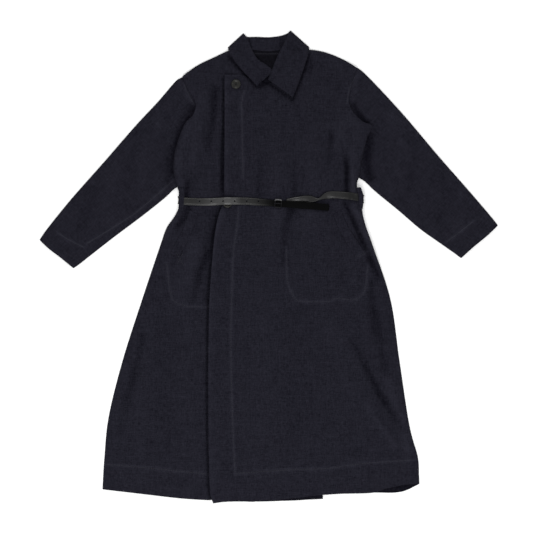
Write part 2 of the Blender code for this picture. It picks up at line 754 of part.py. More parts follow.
def wrap(name, rulings, columns, wall, below, finish, turned=False, stiff=False):
    """A strip that lies on the coat, goes round its edges and runs under it."""
    rows, shares, lifts = [], [], []
    for ruling in rulings:
        inner = Vector((ruling.inner_x, ruling.inner_y)) * MM
        outer = Vector((ruling.outer_x, ruling.outer_y)) * MM
        width = (outer - inner).length
        across = [0.0, *(step / width for step in TURN_STEPS[1:-1])] if turned else []
        first = TURN_DEPTH / width if turned else 0
        across += [first + (1 - first) * c / columns for c in range(columns + 1)]
        rows.append([inner.lerp(outer, share) for share in across])
        shares.append(ruling.share)
        slope = ruling.outer_lift - ruling.inner_lift
        lifts.append([(ruling.inner_lift + slope * share) * MM for share in across])
    layers = Layers(below)
    tops = []
    for i, row in enumerate(rows):
        if shares[i] < 1:
            tops.append(None)
            continue
        resting = [layers.highest(neighbours(rows, i, j)) for j in range(len(row))]
        if stiff:
            resting = [max(resting)] * len(row)
        heights = [rest + SEAM + wall + lift for rest, lift in zip(resting, lifts[i])]
        if turned:
            for j, step in enumerate(TURN_STEPS[:-1]):
                low = resting[j] + 2 * SEAM + TURN_STAND
                heights[j] = low + (heights[j] - low) * turn(step, 1)
        tops.append(heights)
    grid = []
    on_top = [i for i, heights in enumerate(tops) if heights]
    for i, row in enumerate(rows):
        nearest = min(on_top, key=lambda k: abs(k - i))
        heights = tops[i] or [max(tops[nearest]) * shares[i]] * len(row)
        grid.append([Vector((*place, z)) for place, z in zip(row, heights)])
    return sheet(name, grid, wall, finish)


def strap_rulings(table, width):
    """Lines across a strap from the points along its middle, with its upper edge as the inner end."""
    middle = [Vector((p.x, p.y, p.share)) for p in table]
    found = []
    for k, p in enumerate(table[:-1]):
        found += [k + r / p.rows for r in range(p.rows)]
    found.append(len(table) - 1)
    rulings = []
    upright = abs(table[-1].y - table[0].y) > abs(table[-1].x - table[0].x)
    for t in found:
        k = min(int(t), len(table) - 2)
        f = t - k
        a, b = table[k], table[k + 1]
        place = spline(middle, t)
        after = spline(middle, min(t + STRAP_STEP, len(table) - 1))
        ahead = (after - spline(middle, max(t - STRAP_STEP, 0))).xy
        across = Vector((-ahead.y, ahead.x)) if abs(ahead.x) > STRAP_RUN or upright else Vector((0, 1))
        across.normalize()
        if across.y < 0 or (upright and across.x < 0):
            across = -across
        share = a.share + (b.share - a.share) * f
        half = width / MM / 2 * (a.width_share + (b.width_share - a.width_share) * f)
        tilt = math.radians(a.tilt + (b.tilt - a.tilt) * f)
        lift = a.lift + (b.lift - a.lift) * f
        inner, outer = place.xy + across * half, place.xy - across * half
        swing = half * math.sin(tilt)
        rulings.append(Ruling(*inner, *outer, share, lift + swing, lift - swing))
    return rulings


# Under the coat: the back, and the lower half of each sleeve.
side_rows = [
    moved_in(s._replace(right_x=o.right_x, right_y=o.right_y), BACK_INSET)
    for s, o in zip(UNDER_FRONT[SIDE_START:], OVER_FRONT[SIDE_START:])
]
back_sections = (*BACK_ARMHOLES, *side_rows)
flat_panel("back", back_sections, BACK_TOP, between(BACK_HEM, back_sections, -1), BACK_COLUMNS)
for side, sections, cuff in (
    ("left", SLEEVE_LEFT, SLEEVE_LEFT_CUFF),
    ("right", SLEEVE_RIGHT, SLEEVE_RIGHT_CUFF),
):
    inside = [moved_in(s, UNDER_SLEEVE_INSET) for s in sections]
    if side == "left":
        head = [EdgePoint(s.right_x + UNDER_SLEEVE_SEAM, s.right_y, 0) for s in BACK_ARMHOLES]
    else:
        head = [EdgePoint(s.left_x - UNDER_SLEEVE_SEAM, s.left_y, 0) for s in BACK_ARMHOLES]
    inside[0] = inside[0]._replace(
        left_x=head[0].x, left_y=head[0].y, right_x=head[-1].x, right_y=head[-1].y
    )
    flat_panel(f"sleeve_{side}_under", inside, head, between(cuff, inside, -1), UNDER_SLEEVE_COLUMNS)

# The upper half of each sleeve turns down at both edges.
for side, sections, armhole, cuff, folds in (
    ("left", SLEEVE_LEFT, SLEEVE_LEFT_ARMHOLE, SLEEVE_LEFT_CUFF, SLEEVE_LEFT_FOLDS),
    ("right", SLEEVE_RIGHT, SLEEVE_RIGHT_ARMHOLE, SLEEVE_RIGHT_CUFF, SLEEVE_RIGHT_FOLDS),
):
    panel(
        f"sleeve_{side}_top", sections, armhole, cuff, SLEEVE_COLUMNS, ("back", f"sleeve_{side}_under"),
        folds=folds, rise=SLEEVE_RISE, steps=(TURN_STEPS, TURN_STEPS, FREE_STEPS), armhole_pinch=True,
    )

# Inside the coat: the neck facing, the fronts and their pockets.
panel(
    "neck_facing", NECK_FACING, NECK_FACING_TOP, NECK_FACING_FOOT, NECK_FACING_COLUMNS, ("back",),
    wall=FACING_CLOTH, finish="lining",
)
panel(
    "pocket_bag_right", POCKET_BAG_RIGHT, straight(POCKET_BAG_RIGHT, 0), straight(POCKET_BAG_RIGHT, -1),
    POCKET_BAG_COLUMNS, ("back",), wall=POCKET_CLOTH, finish="lining",
)
panel(
    "front_right", UNDER_FRONT, UNDER_TOP, UNDER_HEM, FRONT_RIGHT_COLUMNS,
    ("back", "sleeve_right_top", "neck_facing", "pocket_bag_right"),
    folds=UNDER_FOLDS, rise=FRONT_RISE, steps=(TURN_STEPS, FREE_STEPS, TURN_STEPS),
)
panel(
    "pocket_bag_left", POCKET_BAG_LEFT, straight(POCKET_BAG_LEFT, 0), straight(POCKET_BAG_LEFT, -1),
    POCKET_BAG_COLUMNS, ("back", "front_right"), wall=POCKET_CLOTH, finish="lining",
)
panel(
    "front_left", OVER_FRONT, OVER_TOP, OVER_HEM, FRONT_LEFT_COLUMNS,
    ("back", "sleeve_left_top", "neck_facing", "front_right", "pocket_bag_left"),
    folds=OVER_FOLDS, rise=FRONT_RISE, steps=(FREE_STEPS, TURN_STEPS, TURN_STEPS),
)
for side, sections in (("left", POCKET_WELT_LEFT), ("right", POCKET_WELT_RIGHT)):
    panel(
        f"pocket_welt_{side}", sections, straight(sections, 0), straight(sections, -1),
        POCKET_WELT_COLUMNS, (f"front_{side}",), wall=WELT_CLOTH,
    )

# The collar: its stand inside the neck, and the fall that goes round behind it.
fall_back = NECK_BUMP + SEAM + CLOTH
stand_points = plan(STAND, STAND_TOP, STAND_FOOT, STAND_COLUMNS, FREE_STEPS, FREE_STEPS, FREE_STEPS)
stand_grid = [
    [Vector((*p.place, fall_back + STAND_RISE * (1 - i / (len(stand_points) - 1)))) for p in row]
    for i, row in enumerate(stand_points)
]
sheet("collar_stand", stand_grid, CLOTH, "cloth")
wrap(
    "collar", COLLAR, COLLAR_COLUMNS, COLLAR_CLOTH,
    ("back", "neck_facing", "front_right", "front_left", "collar_stand"), "cloth", turned=True,
)


def button(name, place):
    """A four-hole button with a raised rim and a dished face, lying on the over-front."""
    bm = bmesh.new()
    points = [bm.verts.new((p.radius * BUTTON_RADIUS, 0, p.height * BUTTON_HEIGHT)) for p in BUTTON_PROFILE]
    edges = [bm.edges.new(pair) for pair in zip(points, points[1:])]
    bmesh.ops.spin(
        bm, geom=points + edges, axis=(0, 0, 1), cent=(0, 0, 0), angle=2 * math.pi, steps=BUTTON_SIDES
    )
    bmesh.ops.remove_doubles(bm, verts=bm.verts[:], dist=0.01 * MM)
    bmesh.ops.recalc_face_normals(bm, faces=bm.faces[:])
    x, y = place
    layers = Layers(("front_left",))
    corners = [(x + sx * BUTTON_RADIUS, y + sy * BUTTON_RADIUS) for sx in (-1, 1) for sy in (-1, 1)]
    node = add_node(name, bm, "horn")
    node.location = (x, y, layers.highest(corners) + SEAM)
    drill = bmesh.new()
    for sx in (-1, 1):
        for sy in (-1, 1):
            made = bmesh.ops.create_cone(
                drill, cap_ends=True, segments=BUTTON_HOLE_SIDES, radius1=BUTTON_HOLE_RADIUS,
                radius2=BUTTON_HOLE_RADIUS, depth=4 * BUTTON_HEIGHT,
            )
            offset = (sx * BUTTON_HOLE_OFFSET, sy * BUTTON_HOLE_OFFSET, 0)
            bmesh.ops.translate(drill, verts=made["verts"], vec=offset)
    cut(node, f"{name}_drill", drill, node.location)


def cut(node, name, bm, location):
    """Cuts a shape out of a node. The shape stays in the file as a hidden cutter."""
    mesh = bpy.data.meshes.new(name)
    bm.to_mesh(mesh)
    bm.free()
    cutter = bpy.data.objects.new(name, mesh)
    cutter.parent = origin
    cutter.location = location
    cutter.hide_render = True
    cutter.display_type = "WIRE"
    cutters.objects.link(cutter)
    boolean = node.modifiers.new(name, "BOOLEAN")
    boolean.object = cutter
    boolean.operation = "DIFFERENCE"
    boolean.solver = "EXACT"
    bpy.context.view_layer.update()


# Buttons on the over-front; the belt covers most of the lower one.
button("button_top", BUTTON_TOP)
button("button_waist", BUTTON_WAIST)

# The belt: strap, punched holes, buckle and side loops.
belt_layers = ("front_right", "front_left", "button_waist", "pocket_welt_left", "pocket_welt_right")
wrap("belt", strap_rulings(BELT, BELT_WIDTH), STRAP_COLUMNS, STRAP, belt_layers, "leather", stiff=True)
punch = bmesh.new()
for number in range(HOLE_COUNT):
    made = bmesh.ops.create_cone(
        punch, cap_ends=True, segments=HOLE_SIDES, radius1=HOLE_RADIUS, radius2=HOLE_RADIUS, depth=PUNCH_DEPTH
    )
    hole_place = (FIRST_HOLE_X + number * HOLE_PITCH, HOLE_Y, PUNCH_DEPTH / 2 + BELT_BUMP)
    bmesh.ops.translate(punch, verts=made["verts"], vec=hole_place)
cut(nodes["belt"], "belt_punch", punch, (0, 0, 0))


def rounded_rectangle(bm, length, width, corner, sides=3):
    """A closed loop of points round a rectangle with rounded corners."""
    points = []
    for quarter in range(4):
        sx = 1 if quarter in (0, 3) else -1
        sy = 1 if quarter < 2 else -1
        for k in range(sides + 1):
            angle = math.pi / 2 * (quarter + k / sides)
            x = sx * (length / 2 - corner) + corner * math.cos(angle)
            y = sy * (width / 2 - corner) + corner * math.sin(angle)
            points.append(bm.verts.new((x, y, 0)))
    return points


def place_on(node, layers, half_length, half_width, turned_by):
    """Lays a rigid piece on the layers below it."""
    corners = [
        (FRAME_X + sx * half_length, FRAME_Y + sy * half_width) for sx in (-1, 1) for sy in (-1, 1)
    ]
    node.location = (FRAME_X, FRAME_Y, Layers(layers).highest(corners, RIGID_SAMPLES) + SEAM)
    node.rotation_euler = (0, 0, turned_by)
    bpy.context.view_layer.update()


bm = bmesh.new()
outside = rounded_rectangle(bm, FRAME_LENGTH, FRAME_WIDTH, FRAME_CORNER)
inside = rounded_rectangle(
    bm, FRAME_LENGTH - 2 * FRAME_BAR, FRAME_WIDTH - 2 * FRAME_BAR, FRAME_CORNER - FRAME_BAR / 2
)
for k, corner in enumerate(outside):
    following = (k + 1) % len(outside)
    bm.faces.new((corner, outside[following], inside[following], inside[k]))
made = bmesh.ops.extrude_face_region(bm, geom=bm.faces[:])
bmesh.ops.translate(
    bm, verts=[v for v in made["geom"] if isinstance(v, bmesh.types.BMVert)], vec=(0, 0, FRAME_HEIGHT)
)
bmesh.ops.recalc_face_normals(bm, faces=bm.faces[:])
frame = add_node("buckle_frame", bm, "metal")
place_on(frame, ("belt", "front_left"), FRAME_LENGTH / 2, FRAME_WIDTH / 2, FRAME_TURN)
bevel = frame.modifiers.new("edges", "BEVEL")
bevel.width = FRAME_BEVEL
bevel.segments = 1
bm = bmesh.new()
bmesh.ops.create_cube(bm, size=1)
bmesh.ops.scale(bm, vec=(FRAME_LENGTH, PRONG_WIDTH, PRONG_HEIGHT), verts=bm.verts[:])
bmesh.ops.translate(bm, vec=(0, 0, PRONG_HEIGHT / 2), verts=bm.verts[:])
prong = add_node("buckle_prong", bm, "metal")
place_on(prong, ("buckle_frame", "belt"), FRAME_LENGTH / 2, PRONG_WIDTH / 2, FRAME_TURN)
for side, table in (("left", LOOP_LEFT), ("right", LOOP_RIGHT)):
    wrap(
        f"belt_loop_{side}", strap_rulings(table, LOOP_WIDTH), STRAP_COLUMNS, LOOP_CLOTH,
        (f"front_{side}", "belt"), "cloth", stiff=True,
    )

# The origin goes on the surface, under the middle of the coat.
graph = bpy.context.evaluated_depsgraph_get()
corners = [
    vertex.co for node in nodes.values() if node.location.length == 0
    for vertex in node.evaluated_get(graph).to_mesh().vertices
]
low = [min(c[axis] for c in corners) for axis in range(3)]
high = [max(c[axis] for c in corners) for axis in range(3)]
origin.location = (-(low[0] + high[0]) / 2, -(low[1] + high[1]) / 2, -low[2])
bpy.context.view_layer.update()
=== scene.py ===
"""Belted wrap coat, laid flat on its back with the front up."""

import math
from collections import namedtuple

import bmesh
import bpy
import numpy as np
from mathutils import Matrix, Vector
from mathutils.bvhtree import BVHTree


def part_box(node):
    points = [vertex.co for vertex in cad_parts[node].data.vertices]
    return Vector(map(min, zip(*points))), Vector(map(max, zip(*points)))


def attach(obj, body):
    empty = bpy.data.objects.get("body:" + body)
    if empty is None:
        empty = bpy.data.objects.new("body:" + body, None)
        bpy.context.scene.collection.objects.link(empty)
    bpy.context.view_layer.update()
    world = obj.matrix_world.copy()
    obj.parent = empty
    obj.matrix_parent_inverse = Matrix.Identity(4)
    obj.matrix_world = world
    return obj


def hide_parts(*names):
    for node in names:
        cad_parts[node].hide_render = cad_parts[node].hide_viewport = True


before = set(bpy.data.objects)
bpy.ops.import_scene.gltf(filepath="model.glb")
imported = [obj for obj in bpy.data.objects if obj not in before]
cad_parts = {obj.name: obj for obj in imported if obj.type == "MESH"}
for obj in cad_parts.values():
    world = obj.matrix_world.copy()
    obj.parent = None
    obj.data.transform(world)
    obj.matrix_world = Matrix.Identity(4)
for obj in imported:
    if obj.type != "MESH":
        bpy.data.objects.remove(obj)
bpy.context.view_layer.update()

# Camera. It looks straight down on the coat, with the collar at the top of the picture.
# Its width takes in both cuffs and a margin, as the photograph does.
MM = 0.001
VIEW_WIDTH = 1332.5 * MM
VIEW_HEIGHT = 4.0
VIEW_MIDDLE_X = -5.5 * MM
VIEW_MIDDLE_Y = 0.75 * MM
SENSOR_WIDTH = 36.0

camera = bpy.data.objects.new("camera", bpy.data.cameras.new("camera"))
bpy.context.scene.collection.objects.link(camera)
camera.data.sensor_width = SENSOR_WIDTH
camera.data.lens = SENSOR_WIDTH * VIEW_HEIGHT / VIEW_WIDTH
camera.location = (VIEW_MIDDLE_X, VIEW_MIDDLE_Y, VIEW_HEIGHT)
bpy.context.scene.camera = camera

# Floor and light. A plain white table top in an even white room, with one soft lamp above the hem and
# smaller ones beyond the collar and at the right, so that slopes, folds and edges shade softly.
FLOOR_SIDE = 14.0
FLOOR_WHITE = (0.93, 0.93, 0.93, 1)
ROOM_LIGHT = 0.92
Lamp = namedtuple("Lamp", "place side power")
LAMPS = (
    Lamp(Vector((-0.3, -1.3, 2.0)), 1.5, 30.0),
    Lamp(Vector((-0.2, 2.6, 2.0)), 1.2, 12.0),
    Lamp(Vector((2.3, 0.6, 2.2)), 0.5, 4.0),
)


def new_object(name, bm, smooth=False):
    """An object at the origin from a finished bmesh."""
    for face in bm.faces:
        face.smooth = smooth
    made = bpy.data.meshes.new(name)
    bm.to_mesh(made)
    bm.free()
    piece = bpy.data.objects.new(name, made)
    bpy.context.scene.collection.objects.link(piece)
    return piece


bm = bmesh.new()
bmesh.ops.create_grid(bm, x_segments=2, y_segments=2, size=FLOOR_SIDE / 2)
floor = new_object("floor", bm)
paper = bpy.data.materials.new("floor")
paper.use_nodes = True
paper_shader = paper.node_tree.nodes["Principled BSDF"]
paper_shader.inputs["Base Color"].default_value = FLOOR_WHITE
paper_shader.inputs["Roughness"].default_value = 0.95
paper_shader.inputs["Specular IOR Level"].default_value = 0.0
floor.data.materials.append(paper)

room = bpy.data.worlds.new("room")
bpy.context.scene.world = room
room.use_nodes = True
room.node_tree.nodes["Background"].inputs["Color"].default_value = (1, 1, 1, 1)
room.node_tree.nodes["Background"].inputs["Strength"].default_value = ROOM_LIGHT
for place, side, power in LAMPS:
    lamp = bpy.data.objects.new("soft_lamp", bpy.data.lights.new("soft_lamp", "AREA"))
    lamp.data.shape = "SQUARE"
    lamp.data.size = side
    lamp.data.energy = power
    lamp.visible_camera = False
    lamp.location = place
    lamp.rotation_euler = (-place).to_track_quat("-Z", "Y").to_euler()
    bpy.context.scene.collection.objects.link(lamp)
bpy.context.scene.view_settings.view_transform = "Standard"

# Back. One flat panel of dark navy wool in a two-tone weave, cut with both armholes and a wide
# hem. It lies face down on the table, and the belt and the collar run behind it.
CLOTH = 1.6
GAP = 0.3
BACK_CELL = 9.0
DOWN = Vector((0, 0, -1))
# The tables are in millimetres from the middle of the cutting plan, which lies this far from the
# frame's origin.
PLAN_X = -0.5
PLAN_Y = -0.5
# The rows of points nearest an edge, and the distance over which the shape of a top edge or hem fades out.
EDGE_STEPS = (0.0, 0.8, 2.2, 4.5)
TOP_FADE = 320.0
HEM_FADE = 160.0

# One row for each line across a panel, from its top to its hem: both ends, and how far each is folded down.
Rung = namedtuple("Rung", "left_x left_y left_turn right_x right_y right_turn")
Spot = namedtuple("Spot", "x y turn", defaults=(0,))
Plan = namedtuple("Plan", "x y left left_turn right right_turn top top_turn hem")

BACK = (
    Rung(-212, 472, 0, 217, 490, 0),
    Rung(-200, 442, 0, 206, 450, 0),
    Rung(-190, 408, 0, 203, 410, 0),
    Rung(-200, 350, 0, 220, 338, 0),
    Rung(-216, 280, 0, 223, 272, 0),
    Rung(-225, 222, 0, 219, 220, 0),
    Rung(-225, 200, 0, 218, 202, 0),
    Rung(-216, 166, 0, 228, 168, 0),
    Rung(-231, 128, 0, 233, 130, 0),
    Rung(-252, 97, 0, 242, 97, 0),
    Rung(-268, 52, 0, 258, 52, 0),
    Rung(-313, -82, 0, 302, -82, 0),
    Rung(-361, -232, 0, 324, -232, 0),
    Rung(-396, -372, 0, 349, -395, 0),
    Rung(-407, -474, 0, 370, -474, 0),
    Rung(-412, -555, 0, 374, -544, 0),
)
BACK_TOP = (
    Spot(-212, 472), Spot(-179, 497), Spot(-136, 519), Spot(-94, 536), Spot(-60, 535), Spot(-1, 533),
    Spot(54, 534), Spot(86, 536), Spot(136, 532), Spot(186, 512), Spot(217, 490),
)
BACK_HEM = (
    Spot(-412, -555), Spot(-271, -565), Spot(-1, -573), Spot(229, -564), Spot(325, -563),
    Spot(374, -544),
)


def smooth_line(points, pieces=24):
    """Rows close together on the smooth curve through some rows of numbers."""
    p = np.array(points, float)
    p = np.vstack([2 * p[0] - p[1], p, 2 * p[-1] - p[-2]])
    f = (np.arange(pieces) / pieces)[:, None]
    parts = []
    for a, b, c, d in zip(p, p[1:], p[2:], p[3:]):
        cubic = (3 * (b - c) + d - a) * f**3 + (2 * a - 5 * b + 4 * c - d) * f**2 + (c - a) * f
        parts.append(b + cubic / 2)
    return np.vstack([*parts, p[-2:-1]])


def lengths(line):
    """The length of each step along a line of places."""
    return np.linalg.norm(np.diff(line, axis=0), axis=1)


def spaced(line, step_lengths, want):
    """The rows of a line at some distances along it."""
    along = np.concatenate([[0], np.cumsum(step_lengths)])
    return np.column_stack([np.interp(want, along, column) for column in line.T])


def edge_spaced(length, cell):
    """Distances along a length: close together at both ends and a cell apart between them."""
    edge = np.array(EDGE_STEPS)
    inner = np.linspace(edge[-1] + cell, length - edge[-1] - cell, max(2, round(length / cell) - 2))
    return np.concatenate([edge, inner, length - edge[::-1]])


def placed(x, y):
    """Places in the plan, in millimetres, as places in the frame, in metres."""
    return (x + PLAN_X) * MM, (y + PLAN_Y) * MM


def fitted(width, columns):
    """Distances across a row of a given width, with the same close steps at its edges as the widest row."""
    edge = np.array(EDGE_STEPS)
    inner_count = columns - 2 * len(edge)
    inner = np.linspace(edge[-1], width - edge[-1], inner_count + 2)[1:-1]
    return np.concatenate([edge, inner, width - edge[::-1]])


def plan(rungs, top, hem, cell, row_cell=None):
    """The grid of a panel's places, and each one's distance in millimetres from the panel's edges."""
    line = smooth_line(rungs)
    row_steps = (lengths(line[:, 0:2]) + lengths(line[:, 3:5])) / 2
    down = edge_spaced(row_steps.sum(), row_cell or cell)
    ends = spaced(line, row_steps, down)
    left, right = ends[:, 0:2], ends[:, 3:5]
    widths = np.linalg.norm(right - left, axis=1)
    columns = len(edge_spaced(widths.max(), cell))
    across = np.array([fitted(width, columns) for width in widths])
    share = across / widths[:, None]
    place = left[:, None] + (right - left)[:, None] * share[..., None]
    top_turn = np.zeros_like(share)
    for edge, distance, fade in ((top, down, TOP_FADE), (hem, down[-1] - down, HEM_FADE)):
        curve = smooth_line(edge)
        steps = lengths(curve[:, 0:2])
        bent = spaced(curve, steps, share.ravel() * steps.sum()).reshape(*share.shape, 3)
        chord = curve[0] + (curve[-1] - curve[0]) * share[..., None]
        strength = np.clip(1 - distance / fade, 0, 1) ** 2
        place = place + (bent - chord)[..., 0:2] * strength[:, None, None]
        if edge is top:
            top_turn = np.clip(bent[..., 2], 0, 1)
    grid = np.ones_like(share)
    return Plan(
        *placed(place[..., 0], place[..., 1]),
        across,
        np.clip(ends[:, 2:3], 0, 1) * grid,
        widths[:, None] - across,
        np.clip(ends[:, 5:6], 0, 1) * grid,
        down[:, None] * grid,
        top_turn,
        (down[-1] - down)[:, None] * grid,
    )


def smooth_step(value, low, high):
    """0 below low, 1 above high, with a soft start and end."""
    t = np.clip((value - low) / (high - low), 0, 1)
    return t * t * (3 - 2 * t)


def softened(heights, times):
    """Heights of a grid with their bumps spread out."""
    for _ in range(times):
        p = np.pad(heights, 1, mode="edge")
        heights = (p[:-2, 1:-1] + p[2:, 1:-1] + p[1:-1, :-2] + p[1:-1, 2:] + 4 * heights) / 8
    return heights


surfaces = {}


def tree_of(mesh):
    """A search tree of a mesh's faces."""
    return BVHTree.FromPolygons([v.co for v in mesh.vertices], [p.vertices[:] for p in mesh.polygons])


def laid_tops(names, x, y):
    """Height of the highest of some laid pieces at each place, and 0 where only the table is there."""
    found = np.zeros(x.size)
    for k, place in enumerate(zip(x.flat, y.flat)):
        for name in names:
            hit = surfaces[name].ray_cast(Vector((*place, 1)), DOWN)[0]
            if hit is not None and hit.z > found[k]:
                found[k] = hit.z
    return found.reshape(x.shape)


def solid_tops(node, x, y):
    """Height of a node's solid at each place, or at its nearest point beyond its edge."""
    tree = tree_of(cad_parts[node].data)
    found = []
    for place in zip(x.flat, y.flat):
        hit = tree.ray_cast(Vector((*place, 1)), DOWN)[0]
        if hit is None:
            hit = tree.find_nearest(Vector((*place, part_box(node)[1][2])))[0]
        found.append(hit.z)
    return np.array(found).reshape(x.shape)


def set_grain(mesh, flat):
    """Stores each vertex's place in the flat cloth, in metres, as the mesh's grain map."""
    corners = np.zeros(len(mesh.loops), int)
    mesh.loops.foreach_get("vertex_index", corners)
    layer = mesh.uv_layers.get("grain") or mesh.uv_layers.new(name="grain")
    layer.data.foreach_set("uv", flat[corners].ravel())


def face_up(piece):
    """Turns a sheet's faces up, with its wall below them."""
    bm = bmesh.new()
    bm.from_mesh(piece.data)
    bm.faces.ensure_lookup_table()
    if bm.faces[0].normal.z < 0:
        bmesh.ops.reverse_faces(bm, faces=bm.faces[:])
        bm.to_mesh(piece.data)
    bm.free()


def cloth_object(name, x, y, z, grain, wall, rub_and_shade=None):
    """A sheet from a grid of places, face up: its outer face, with the wall inside it, its grain as a UV
    map, and as an attribute how far each place is rubbed pale or given painted shade or highlight."""
    rows, columns = x.shape
    bm = bmesh.new()
    bmesh.ops.create_grid(bm, x_segments=columns - 1, y_segments=rows - 1, size=0.5)
    piece = new_object(name, bm, smooth=True)
    made = piece.data
    places = np.stack([x, y, z], axis=-1)[::-1]
    made.vertices.foreach_set("co", places.ravel())
    warp = np.array(grain, float) / np.linalg.norm(grain)
    spots = places.reshape(-1, 3)
    across = spots[:, 0] * warp[1] - spots[:, 1] * warp[0]
    set_grain(made, np.stack([across, spots[:, :2] @ warp], axis=-1))
    if rub_and_shade is not None:
        made.attributes.new("rub_and_shade", "FLOAT", "POINT").data.foreach_set("value", rub_and_shade[::-1].ravel())
    made.update()
    surfaces[name] = tree_of(made)
    solidify = piece.modifiers.new("wall", "SOLIDIFY")
    solidify.thickness = wall * MM
    solidify.offset = -1
    face_up(piece)
    return piece


class Shade:
    """A socket in a material's nodes. Arithmetic on shades adds the Math nodes that work it out."""

    def __init__(self, tree, socket=None):
        self.tree = tree
        self.socket = socket

    def add(self, kind, settings, inputs, output=0):
        """A new node with its settings and its sockets' values or links."""
        node = self.tree.nodes.new(kind)
        for name, value in settings.items():
            setattr(node, name, value)
        for name, value in inputs.items():
            if isinstance(value, Shade):
                self.tree.links.new(value.socket, node.inputs[name])
            else:
                node.inputs[name].default_value = value
        return Shade(self.tree, node.outputs[output])

    def into(self, socket):
        """Links this shade to a socket of another node."""
        self.tree.links.new(self.socket, socket)

    def part(self, axis):
        """The x, y or z of this vector, by number."""
        return self.add("ShaderNodeSeparateXYZ", {}, {0: self}, output=axis)

    def noise(self, scale, detail, distortion=0.0):
        """Noise at the places that this vector gives."""
        inputs = {"Vector": self, "Scale": scale, "Detail": detail, "Distortion": distortion}
        return self.add("ShaderNodeTexNoise", {}, inputs)

    def eased(self, low, high):
        """0 below low, 1 above high, with a soft start and end."""
        settings = {"interpolation_type": "SMOOTHSTEP"}
        return self.add("ShaderNodeMapRange", settings, {0: self, 1: low, 2: high})

    def math(self, operation, *values):
        """The result of a Math node on some values or shades."""
        return self.add("ShaderNodeMath", {"operation": operation}, dict(enumerate(values)))

    def __add__(self, other):
        return self.math("ADD", self, other)

    def __sub__(self, other):
        return self.math("SUBTRACT", self, other)

    def __rsub__(self, other):
        return self.math("SUBTRACT", other, self)

    def __mul__(self, other):
        return self.math("MULTIPLY", self, other)

    def __truediv__(self, other):
        return self.math("DIVIDE", self, other)

    __radd__ = __add__
    __rmul__ = __mul__


def new_material(name, roughness, specular=0.5):
    """A material with only its shader, the shader's node, and a shade to build on."""
    material = bpy.data.materials.new(name)
    material.use_nodes = True
    shader = material.node_tree.nodes["Principled BSDF"]
    shader.inputs["Roughness"].default_value = roughness
    shader.inputs["Specular IOR Level"].default_value = specular
    return material, shader, Shade(material.node_tree)


def mixed(shade, factor, dark, light):
    """A colour between two, which may be fixed colours or other colour shades."""
    return shade.add("ShaderNodeMix", {"data_type": "RGBA"}, {0: factor, 6: dark, 7: light}, output=2)


# The wool: a plain weave of yarns that are spun from dark and pale fibre, so each one changes along
# its length.
YARN = 1.25 * MM
FLECK = 2.3 * MM
SLUB = 11 * MM
STREAK = 5 * MM
STREAK_RUN = 60 * MM
# Patches of a few yarns and broad mottling: how many there are to a metre.
PATCHES = 320.0
MOTTLES = 42.0
# How much each of these, and the rubbing and painted shade and highlight held in an attribute, moves
# the tone between dark and pale, and the tone that they move it from.
FLECK_SHARE = 1.3
PATCH_SHARE = 0.55
STREAK_SHARE = 0.3
MOTTLE_SHARE = 0.28
RUB_AND_SHADE_SHARE = 0.42
MIDDLE_TONE = 0.445
WEAVE_RELIEF = 0.25 * MM
WOOL_DARK = (0.0026, 0.0024, 0.0046, 1)
WOOL_PALE = (0.0185, 0.0182, 0.0264, 1)


def wool(name, dark, pale):
    """A matt woven cloth of mottled yarns, with the weave's relief."""
    material, shader, shade = new_material(name, roughness=0.9, specular=0.03)
    flat = shade.add("ShaderNodeUVMap", {"uv_map": "grain"}, {})
    across = flat.part(0)
    along = flat.part(1)
    warp = across * (math.pi / YARN)
    weft = along * (math.pi / YARN)
    over = shade.math("SINE", warp) * shade.math("SINE", weft)
    tones = []
    for wide, long in ((FLECK, SLUB), (SLUB, FLECK), (STREAK, STREAK_RUN), (STREAK_RUN, STREAK)):
        stretched = shade.add("ShaderNodeCombineXYZ", {}, {0: across * (1 / wide), 1: along * (1 / long)})
        tones.append(stretched.noise(scale=1.0, detail=1.5))
    patch = flat.noise(scale=PATCHES, detail=2.0)
    mottle = flat.noise(scale=MOTTLES, detail=2.0)
    top = shade.math("GREATER_THAN", over, 0.0)
    tone = tones[0] * top + tones[1] * (1 - top)
    streaks = tones[2] + tones[3] - 1
    # The attribute holds rubbing along seams, painted shade in creases and inside the back, and painted
    # highlight.
    rub_and_shade = shade.add("ShaderNodeAttribute", {"attribute_name": "rub_and_shade"}, {}, output=2)
    tone = (tone - 0.5) * FLECK_SHARE + (patch - 0.5) * PATCH_SHARE + streaks * STREAK_SHARE
    tone = tone + (mottle - 0.5) * MOTTLE_SHARE + MIDDLE_TONE + rub_and_shade * RUB_AND_SHADE_SHARE
    mixed(shade, tone, dark, pale).into(shader.inputs["Base Color"])
    relief = shade.math("ABSOLUTE", over)
    bump = shade.add("ShaderNodeBump", {}, {"Strength": 0.35, "Distance": WEAVE_RELIEF, "Height": relief})
    bump.into(shader.inputs["Normal"])
    return material


navy_wool = wool("navy_wool", WOOL_DARK, WOOL_PALE)


def dress(piece, node, material):
    """Gives a new piece its material and its body, and hides the node that it stands for."""
    piece.data.materials.append(material)
    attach(piece, "root")
    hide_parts(node)


# The back rises over the strap and over the collar's fall. Each slope lies between two distances.
STRAP_BUMP = 3.2
STRAP_BUMP_Y = 168
STRAP_BUMP_SLOPE = (24, 60)
STRAP_BUMP_END = (238, 262)
COLLAR_BUMP = 2.6
COLLAR_BUMP_SLOPE = (440, 492)
COLLAR_BUMP_END = (135, 195)
# Its inner side, which faces up, is darkened with painted shade for the shadow inside the coat.
BACK_SHADE = -0.8

